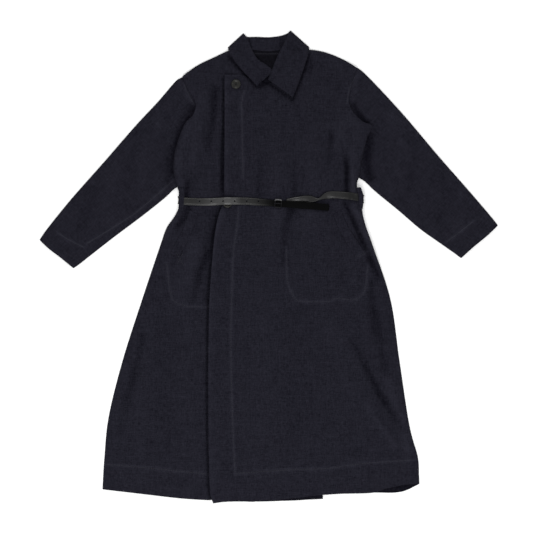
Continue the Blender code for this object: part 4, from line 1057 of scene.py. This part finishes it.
# One row for each line across such a strip. Share is 1 on top of the coat and 0 behind it, and above this
# share the strip counts as lying wholly on top.
WHOLLY_ON = 0.995
Ruling = namedtuple("Ruling", "inner_x inner_y outer_x outer_y share inner_lift outer_lift")
COLLAR = (
    Ruling(14, 490, -29, 451, 1, -4, 1),
    Ruling(-8, 507, -47, 470, 1, -1, 1),
    Ruling(-25, 518, -64, 488, 1, 3, 1),
    Ruling(-36, 534, -82, 510, 1, 3, 1),
    Ruling(-45, 554, -95, 529, 1, 2, 1),
    Ruling(-53, 571, -100, 540, 1, 1, 1),
    Ruling(-60, 580, -101, 546, 0.8, 0, 0),
    Ruling(-63, 584, -102, 548, 0.45, 0, 0),
    Ruling(-59, 580, -99, 544, 0.04, 0, 0),
    Ruling(-52, 575, -93, 535, 0, 0, 0),
    Ruling(-27, 575, -58, 518, 0, 0, 0),
    Ruling(0, 574, 0, 515, 0, 0, 0),
    Ruling(27, 577, 60, 518, 0, 0, 0),
    Ruling(46, 583, 94, 538, 0, 0, 0),
    Ruling(52, 588, 100, 547, 0.04, 0, 0),
    Ruling(55, 591, 102, 549, 0.45, 0, 0),
    Ruling(52, 586, 101, 544, 0.8, 0, 0),
    Ruling(44, 570, 98.5, 528, 1, 1, 1),
    Ruling(32, 546, 91.5, 505, 1, 3, 1),
    Ruling(20, 523, 84, 483, 1, 3, 1),
    Ruling(11, 500, 76, 461, 1, 4, 1),
    Ruling(4, 482, 68, 440, 1, 4, 1),
    Ruling(-2, 467, 60.5, 422, 1, 3, 1),
)
line = smooth_line(COLLAR, pieces=12)
travel = np.column_stack([line[:, 0:4], line[:, 4] * UNDER_HEIGHT])
steps = (lengths(travel[:, [0, 1, 4]]) + lengths(travel[:, [2, 3, 4]])) / 2
rows = spaced(line, steps, edge_spaced(steps.sum(), COLLAR_CELL))
inner, outer = rows[:, 0:2], rows[:, 2:4]
widths = np.linalg.norm(outer - inner, axis=1)
columns = len(edge_spaced(widths.max(), COLLAR_CELL))
across = np.array([fitted(width, columns) for width in widths])
share = (across / widths[:, None])[..., None]
place = inner[:, None] + (outer - inner)[:, None] * share
x, y = placed(place[..., 0], place[..., 1])
on_top = np.clip(rows[:, 4], 0, 1)[:, None]
under = laid_tops(("back_panel", "neck_lining", "front_under", "front_over", "stand_inside"), x, y) / MM
lift = rows[:, 5:6] + (rows[:, 6:7] - rows[:, 5:6]) * share[..., 0]
bed = np.maximum(softened(under, COLLAR_BED_SOFT), under) + COLLAR_CLOTH + GAP
z = bed + np.clip(lift + COLLAR_EDGE_LIFT, 0, None)
z = np.maximum(softened(z, COLLAR_SOFT), under + COLLAR_CLOTH + GAP)
low = under + TURN_STAND
z = low + (z - low) * folded_share(across, 1, TURN_RADIUS)
z = np.where(on_top > WHOLLY_ON, z, z.max(axis=1, keepdims=True) * on_top)
z = z - ROLL_DROP * (1 - folded_share(widths[:, None] - across, 1, ROLL_RADIUS)) * on_top
# Painted highlight: the colour is lightened along the folded edge, where light catches the roll.
edge_highlight = COLLAR_EDGE_HIGHLIGHT * (1 - smooth_step(across, 1, COLLAR_HIGHLIGHT_RUN)) * on_top
collar = cloth_object("collar_fall", x, y, z * MM, (0, 1), COLLAR_CLOTH, edge_highlight)
dress(collar, "collar", navy_wool)

# Buttons. Two dished buttons of grey-brown horn with four holes, sewn on along the placket's edge.
# The one at the waist is nearly covered by the belt.
BUTTON_RADIUS = 11.6
BUTTON_HEIGHT = 4.2
BUTTON_TURNS = 48
BUTTON_HOLE = 1.1
BUTTON_HOLE_OUT = 2.3
# A hole's depth as a share of the button's thickness at its middle.
BUTTON_HOLE_DEPTH = 0.8
BUTTON_THREAD_HALF_WIDTH = 0.55
BUTTON_THREAD_RISE = 0.5
# The button rests on the highest of some places round a ring, at this share of its radius.
BUTTON_SEAT = 0.7
SEAT_PLACES = 12
BUTTON_TOP = (-81, 455)
BUTTON_WAIST = (-102, 159)
# The section from the middle of the face, over the rim, to the middle of the back: shares of the radius
# and of the height.
BUTTON_SECTION = (
    (0.0, 0.60), (0.3, 0.61), (0.56, 0.66), (0.70, 0.9), (0.80, 1.0), (0.90, 0.96), (0.98, 0.76),
    (1.0, 0.55), (0.94, 0.25), (0.8, 0.03), (0.5, 0.0), (0.0, 0.0),
)
HORN_CLOUDS = 160.0
HORN_DARK = (0.001, 0.001, 0.0008, 1)
HORN_PALE = (0.010, 0.0095, 0.007, 1)

horn, shader, shade = new_material("grey_horn", roughness=0.3, specular=0.25)
where = shade.add("ShaderNodeTexCoord", {}, {}, output=3)
cloud = where.noise(scale=HORN_CLOUDS, detail=3.0, distortion=1.2)
mixed(shade, cloud, HORN_DARK, HORN_PALE).into(shader.inputs["Base Color"])


def drilled(piece, places, radius, depth):
    """Cuts round holes straight down into a piece, each from above its place to a depth below it."""
    bm = bmesh.new()
    for x, y, z in places:
        bmesh.ops.create_cone(
            bm, cap_ends=True, segments=12, radius1=radius, radius2=radius, depth=depth * 2,
            matrix=Matrix.Translation((x, y, z)),
        )
    drill = new_object("drill", bm)
    holes = piece.modifiers.new("holes", "BOOLEAN")
    holes.object = drill
    holes.solver = "EXACT"
    piece.data = bpy.data.meshes.new_from_object(piece.evaluated_get(bpy.context.evaluated_depsgraph_get()))
    piece.modifiers.clear()
    bpy.data.objects.remove(drill)


threads = bmesh.new()
for name, middle in (("button_top", BUTTON_TOP), ("button_waist", BUTTON_WAIST)):
    centre_x, centre_y = placed(*middle)
    round_edge = np.arange(SEAT_PLACES) * 2 * math.pi / SEAT_PLACES
    seat_x = centre_x + np.cos(round_edge) * BUTTON_RADIUS * BUTTON_SEAT * MM
    seat_y = centre_y + np.sin(round_edge) * BUTTON_RADIUS * BUTTON_SEAT * MM
    seat = laid_tops(("front_over",), seat_x, seat_y).max() + GAP * MM
    bm = bmesh.new()
    section = [
        bm.verts.new((r * BUTTON_RADIUS * MM, 0, z * BUTTON_HEIGHT * MM))
        for r, z in smooth_line(BUTTON_SECTION, pieces=3)
    ]
    edges = [bm.edges.new(ends) for ends in zip(section, section[1:])]
    bmesh.ops.spin(
        bm, geom=section + edges, axis=(0, 0, 1), cent=(0, 0, 0), angle=2 * math.pi, steps=BUTTON_TURNS,
        use_merge=True,
    )
    bmesh.ops.remove_doubles(bm, verts=bm.verts[:], dist=0.001 * MM)
    bmesh.ops.recalc_face_normals(bm, faces=bm.faces[:])
    bmesh.ops.translate(bm, verts=bm.verts[:], vec=(centre_x, centre_y, seat))
    face_height = seat + BUTTON_SECTION[0][1] * BUTTON_HEIGHT * MM
    button = new_object(f"horn_{name}", bm, smooth=True)
    surfaces[name] = tree_of(button.data)
    aside = BUTTON_HOLE_OUT * MM
    corners = ((-aside, -aside), (aside, -aside), (aside, aside), (-aside, aside))
    drilled(
        button, [(centre_x + a, centre_y + b, face_height) for a, b in corners], BUTTON_HOLE * MM,
        BUTTON_HOLE_DEPTH * BUTTON_SECTION[0][1] * BUTTON_HEIGHT * MM,
    )
    dress(button, name, horn)
    half_sizes = (aside * math.sqrt(2), BUTTON_THREAD_HALF_WIDTH * MM, BUTTON_THREAD_RISE * MM, 1)
    for turn in (math.pi / 4, -math.pi / 4):
        turned = Matrix.Translation((centre_x, centre_y, face_height)) @ Matrix.Rotation(turn, 4, "Z")
        bmesh.ops.create_uvsphere(
            threads, u_segments=8, v_segments=6, radius=1, matrix=turned @ Matrix.Diagonal(half_sizes)
        )
button_threads = new_object("button_threads", threads)
button_threads.data.materials.append(dark_lining)
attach(button_threads, "root")

# Belt. One narrow strap of black leather with creased edges and six punched holes. It runs from its tail,
# through the buckle, across the front, behind the back and over the other side to the buckle. The tail
# has lost its polish.
BELT_WIDTH = 18.5
STRAP = 2.0
BELT_CELL = 2.6
# Keeps the strap's lean small where it turns round the coat's sides.
LEAST_RUN = 0.8
# The strap bridges the hollows between what it lies on, over this many rounds of softening.
BED_EASE = 40
BED_ROUNDS = 4
BED_FINISH = 3
Strap = namedtuple("Strap", "x y share lift width tilt", defaults=(0, 1, 0))
BELT = (
    Strap(151, 147.5, 1, 0.6, 0.65),
    Strap(148, 148, 1, 0.9, 0.86),
    Strap(142, 149, 1, 1.4, 0.9),
    Strap(118, 151, 1, 4.0, 0.9),
    Strap(79, 154, 1, 4.2, 0.9),
    Strap(50, 156, 1, 3.8, 0.88),
    Strap(36, 157, 1, 0.3, 0.85),
    Strap(9, 159, 1, 0, 0.86),
    Strap(-26, 162, 1, 0, 0.96),
    Strap(-59, 164, 1),
    Strap(-109, 164, 1),
    Strap(-161, 162, 1),
    Strap(-209, 164, 1),
    Strap(-217, 165, 1),
    Strap(-223, 166, 0.8),
    Strap(-225, 167, 0.45),
    Strap(-223, 168, 0.1),
    Strap(-218, 168, 0),
    Strap(-205, 168, 0),
    Strap(-180, 168, 0),
    Strap(-130, 168, 0),
    Strap(-50, 168, 0),
    Strap(60, 168, 0),
    Strap(140, 168, 0),
    Strap(191, 168, 0),
    Strap(217, 168, 0),
    Strap(230, 168, 0),
    Strap(235, 169, 0.1),
    Strap(237, 170, 0.45),
    Strap(235, 171, 0.8),
    Strap(229, 172, 1),
    Strap(209, 175.8, 1),
    Strap(189, 178.2, 1, 0, 0.97),
    Strap(172, 179.8, 1, 0.4, 0.95),
    Strap(158, 180, 1, 0.8, 0.94, 6),
    Strap(147, 178.3, 1, 1.4, 0.88, 14),
    Strap(139, 175.6, 1, 2.2, 0.62, 16),
    Strap(132, 171.6, 1, 2.6, 0.34, 16),
    Strap(125, 168.6, 1, 2.6, 0.26, 14),
    Strap(117, 168, 1, 2.2, 0.55, -8),
    Strap(107, 169, 1, 1.8, 0.87, -6),
    Strap(95, 168.6, 1, 1.8, 0.98, 10),
    Strap(79, 166.5, 1, 2.0, 1, 14),
    Strap(64, 164, 1, 1.5, 1, 12),
    Strap(52, 161.6, 1, 0.6, 1, 2),
    Strap(46, 160.4, 1, 0.4),
)
# Half of the strap's section: shares of the half width from the middle out, and how far the face lies
# below its crown.
BELT_SECTION = (
    (0, 0), (0.4, 0.05), (0.64, 0.14), (0.72, 0.4), (0.78, 0.4), (0.85, 0.12), (0.94, 0.25), (1, 0.8),
)
HOLE_FIRST = -172
HOLE_PITCH = 29.4
HOLE_Y = 164
HOLE_COUNT = 6
HOLE_RADIUS = 2.0
HOLE_DEPTH = 1.8 * STRAP
# Shares of the half width between which the edge comes in paler.
RIM_START = 0.62
RIM_FULL = 0.9
# Distances from the tail's tip, in metres, between which the polish comes in.
POLISH_START = 0.133
POLISH_FULL = 0.209
# The strong shine comes in between the first two distances and fades to a plain sheen between the others.
SHINE_START = 0.217
SHINE_FULL = 0.239
SHINE_END = 0.257
SHEEN_START = 0.340
# The stretch that comes from behind the back is duller, up to the twist.
DULL_START = 0.60
DULL_FULL = 0.80
DULL_END = 0.885
TWIST_START = 0.928
# The sheen's weight, what the shine adds to it and what dullness takes away, and how far wear varies it.
SHEEN = 0.31
SHINE = 0.5
DULLNESS = 0.13
WEAR_LEAST = 0.85
WEAR_RANGE = 0.3
# Worn patches and pores: how many there are to a metre.
WORN_PATCHES = 45.0
PORES = 900.0
LEATHER = (0.0014, 0.0014, 0.0015, 1)
LEATHER_EDGE = (0.0040, 0.0040, 0.0040, 1)

black_leather, shader, shade = new_material("black_leather", roughness=0.6, specular=0.025)
flat = shade.add("ShaderNodeUVMap", {"uv_map": "grain"}, {})
along = flat.part(0)
outward = shade.math("ABSOLUTE", flat.part(1)) / (BELT_WIDTH / 2 * MM)
rim = outward.eased(RIM_START, RIM_FULL)
polish = along.eased(POLISH_START, POLISH_FULL)
mixed(shade, rim * polish, LEATHER, LEATHER_EDGE).into(shader.inputs["Base Color"])
shine = along.eased(SHINE_START, SHINE_FULL) - along.eased(SHINE_END, SHEEN_START)
dull = along.eased(DULL_START, DULL_FULL) - along.eased(DULL_END, TWIST_START)
worn = flat.noise(scale=WORN_PATCHES, detail=3.0)
sheen = polish * (SHEEN + SHINE * shine - DULLNESS * dull) * (WEAR_LEAST + WEAR_RANGE * worn)
sheen.into(shader.inputs["Coat Weight"])
pores = shade.add("ShaderNodeTexVoronoi", {}, {"Vector": flat, "Scale": PORES})
bump = shade.add("ShaderNodeBump", {}, {"Strength": 0.25, "Distance": 0.15 * MM, "Height": pores})
bump.into(shader.inputs["Normal"])
shader.inputs["Coat Roughness"].default_value = 0.3
shader.inputs["Coat IOR"].default_value = 1.8


def strip_rows(table, cell):
    """Rows a cell apart along a strap's middle line, and each one's distance from its start and lean."""
    line = smooth_line(table, pieces=12)
    steps = lengths(np.column_stack([line[:, 0:2], line[:, 2] * UNDER_HEIGHT]))
    distance = np.linspace(0, steps.sum(), round(steps.sum() / cell))
    rows = spaced(line, steps, distance)
    run_x = np.gradient(rows[:, 0])
    run_y = np.gradient(rows[:, 1])
    lean = run_y * run_x / (run_x**2 + LEAST_RUN**2)
    return rows, distance, lean


rows, distance, lean = strip_rows(BELT, BELT_CELL)
half_section = np.array(BELT_SECTION)
reach = np.concatenate([-half_section[:0:-1, 0], half_section[:, 0]])
fall = np.concatenate([half_section[:0:-1, 1], half_section[:, 1]])
half = BELT_WIDTH / 2 * np.clip(rows[:, 4:5], 0, 1) * reach
x, y = placed(rows[:, 0:1] - lean[:, None] * half, rows[:, 1:2] + half)
on_top = np.clip(rows[:, 2], 0, 1)
layers = ("front_under", "front_over", "button_waist", "welt_left", "welt_right")
hard = laid_tops(layers, x, y).max(axis=1, keepdims=True) / MM
bed = hard
for _ in range(BED_ROUNDS):
    bed = np.maximum(softened(bed, BED_EASE), hard)
bed = softened(bed, BED_FINISH)[:, 0] + STRAP + GAP
whole = on_top > WHOLLY_ON
order = np.arange(len(rows))
bed = np.interp(order, order[whole], bed[whole])
z = (bed + np.clip(rows[:, 3], 0, None))[:, None] + half * np.sin(np.radians(rows[:, 5:6]))
z = z * on_top[:, None] - fall * (2 * on_top[:, None] - 1)
belt = cloth_object("strap", x, y, z * MM, (0, 1), STRAP)
straight = np.stack([np.broadcast_to(distance[:, None], half.shape), half], axis=-1)[::-1] * MM
set_grain(belt.data, straight.reshape(-1, 2))
hole_x, hole_y = placed(HOLE_FIRST + HOLE_PITCH * np.arange(HOLE_COUNT), np.full(HOLE_COUNT, HOLE_Y))
hole_z = laid_tops(("strap",), hole_x, hole_y)
drilled(belt, list(zip(hole_x, hole_y, hole_z)), HOLE_RADIUS * MM, HOLE_DEPTH * MM)
dress(belt, "belt", black_leather)

# Buckle. A small frame of dark metal with rounded corners, at the strap's end. Its upper bar has a
# painted glint, and its prong lies across the tail, from bar to bar.
FRAME_LENGTH = 19.0
FRAME_WIDTH = 22.0
FRAME_BAR = 3.2
FRAME_HEIGHT = 2.6
FRAME_CORNER = 4.0
FRAME_EASE = 0.9
FRAME_MIDDLE = (24, 158)
FRAME_TURN = math.radians(-4)
PRONG_WIDTH = 2.4
PRONG_HEIGHT = 1.8
PRONG_CUTS = 9
PRONG_SAG = 1.0
PRONG_EASE = 0.5
# Edges that turn by more than this are rounded.
SHARP_ANGLE = math.radians(60)
METAL_COLOUR = (0.010, 0.010, 0.011, 1)
METAL_GLINT = (0.085, 0.085, 0.087, 1)
# The painted glint comes in between these distances from the frame's middle, towards the collar.
GLINT_START = 5.5
GLINT_FULL = 8.0

frame_x, frame_y = placed(*FRAME_MIDDLE)
dark_metal, shader, shade = new_material("dark_metal", roughness=0.22)
where = shade.add("ShaderNodeTexCoord", {}, {}, output=3)
# Painted glint: the upper bar's colour is made lighter to stand for a reflection of the lamps.
glint = where.part(1).eased(frame_y + GLINT_START * MM, frame_y + GLINT_FULL * MM)
mixed(shade, glint, METAL_COLOUR, METAL_GLINT).into(shader.inputs["Base Color"])
shader.inputs["Metallic"].default_value = 1.0

around = np.array([(a, b) for a in (-0.5, 0, 0.5) for b in (-0.5, 0, 0.5)])
seat_x = frame_x + around[:, 0] * FRAME_LENGTH * MM
seat_y = frame_y + around[:, 1] * FRAME_WIDTH * MM
seat = laid_tops(("strap", "front_over"), seat_x, seat_y).max() + GAP * MM
buckle_place = Matrix.Translation((frame_x, frame_y, seat)) @ Matrix.Rotation(FRAME_TURN, 4, "Z")


def buckle_piece(name, node, bm, ease):
    """A piece of the buckle from its bmesh, with its sharp edges rounded, set in its place."""
    sharp = [edge for edge in bm.edges if edge.is_manifold and edge.calc_face_angle() > SHARP_ANGLE]
    bmesh.ops.bevel(
        bm, geom=sharp, offset=ease * MM, segments=3, profile=0.5, affect="EDGES", material=-1,
        clamp_overlap=True,
    )
    bmesh.ops.transform(bm, matrix=buckle_place, verts=bm.verts[:])
    dress(new_object(name, bm, smooth=True), node, dark_metal)


bm = bmesh.new()
sized = Matrix.Diagonal((FRAME_LENGTH * MM, FRAME_WIDTH * MM, 1, 1))
bmesh.ops.create_grid(bm, x_segments=1, y_segments=1, size=0.5, matrix=sized)
bmesh.ops.bevel(
    bm, geom=bm.verts[:], offset=FRAME_CORNER * MM, segments=6, profile=0.5, affect="VERTICES", material=-1
)
bmesh.ops.inset_region(
    bm, faces=bm.faces[:], thickness=FRAME_BAR * MM, use_boundary=True, use_even_offset=True
)
opening = max(bm.faces, key=lambda face: len(face.verts))
bmesh.ops.delete(bm, geom=[opening], context="FACES_ONLY")
raised = bmesh.ops.extrude_face_region(bm, geom=bm.faces[:])
upper = [part for part in raised["geom"] if isinstance(part, bmesh.types.BMVert)]
bmesh.ops.translate(bm, verts=upper, vec=(0, 0, FRAME_HEIGHT * MM))
bmesh.ops.recalc_face_normals(bm, faces=bm.faces[:])
buckle_piece("frame_metal", "buckle_frame", bm, FRAME_EASE)

bm = bmesh.new()
sized = Matrix.Diagonal((FRAME_LENGTH * MM, PRONG_WIDTH * MM, PRONG_HEIGHT * MM, 1))
bmesh.ops.create_cube(bm, size=1, matrix=sized)
lengthwise = [edge for edge in bm.edges if abs(edge.verts[0].co.x - edge.verts[1].co.x) > PRONG_WIDTH * MM]
bmesh.ops.subdivide_edges(bm, edges=lengthwise, cuts=PRONG_CUTS, use_grid_fill=True)
for vert in bm.verts:
    share = 2 * vert.co.x / (FRAME_LENGTH * MM)
    vert.co.z += (FRAME_HEIGHT + GAP + PRONG_HEIGHT / 2 - PRONG_SAG * (1 - share * share)) * MM
buckle_piece("prong_metal", "buckle_prong", bm, PRONG_EASE)

# Belt loops. A narrow folded strip of the coat's cloth at each side, sewn down above and below the
# strap, which it holds at the waist.
LOOP_WIDTH = 12.5
LOOP_COLUMNS = 7
LOOP_CLOTH = 1.2
LOOP_CELL = 1.6
LOOP_EASE = 14
LOOP_LEFT = (
    Strap(224, 198, 1, 0.4), Strap(230, 180, 1, 0.4), Strap(230.5, 165, 1, 0.4),
    Strap(228, 144, 1, 0.6),
)
LOOP_RIGHT = (Strap(-218, 198, 1, 0.2), Strap(-217, 166, 1, 0.2), Strap(-219, 140, 1, 0.2))
for side, table, front in (("left", LOOP_LEFT, "front_over"), ("right", LOOP_RIGHT, "front_under")):
    rows = strip_rows(table, LOOP_CELL)[0]
    half = LOOP_WIDTH / 2 * np.linspace(-1, 1, LOOP_COLUMNS)
    x, y = placed(*np.broadcast_arrays(rows[:, 0:1] + half, rows[:, 1:2]))
    under = laid_tops((front, "strap"), x, y) / MM
    bed = under.max(axis=1, keepdims=True) * np.ones_like(under)
    z = np.maximum(softened(bed, LOOP_EASE), bed) + LOOP_CLOTH + GAP + rows[:, 3:4]
    loop = cloth_object(f"loop_{side}", x, y, z * MM, (0, 1), LOOP_CLOTH)
    dress(loop, f"belt_loop_{side}", navy_wool)
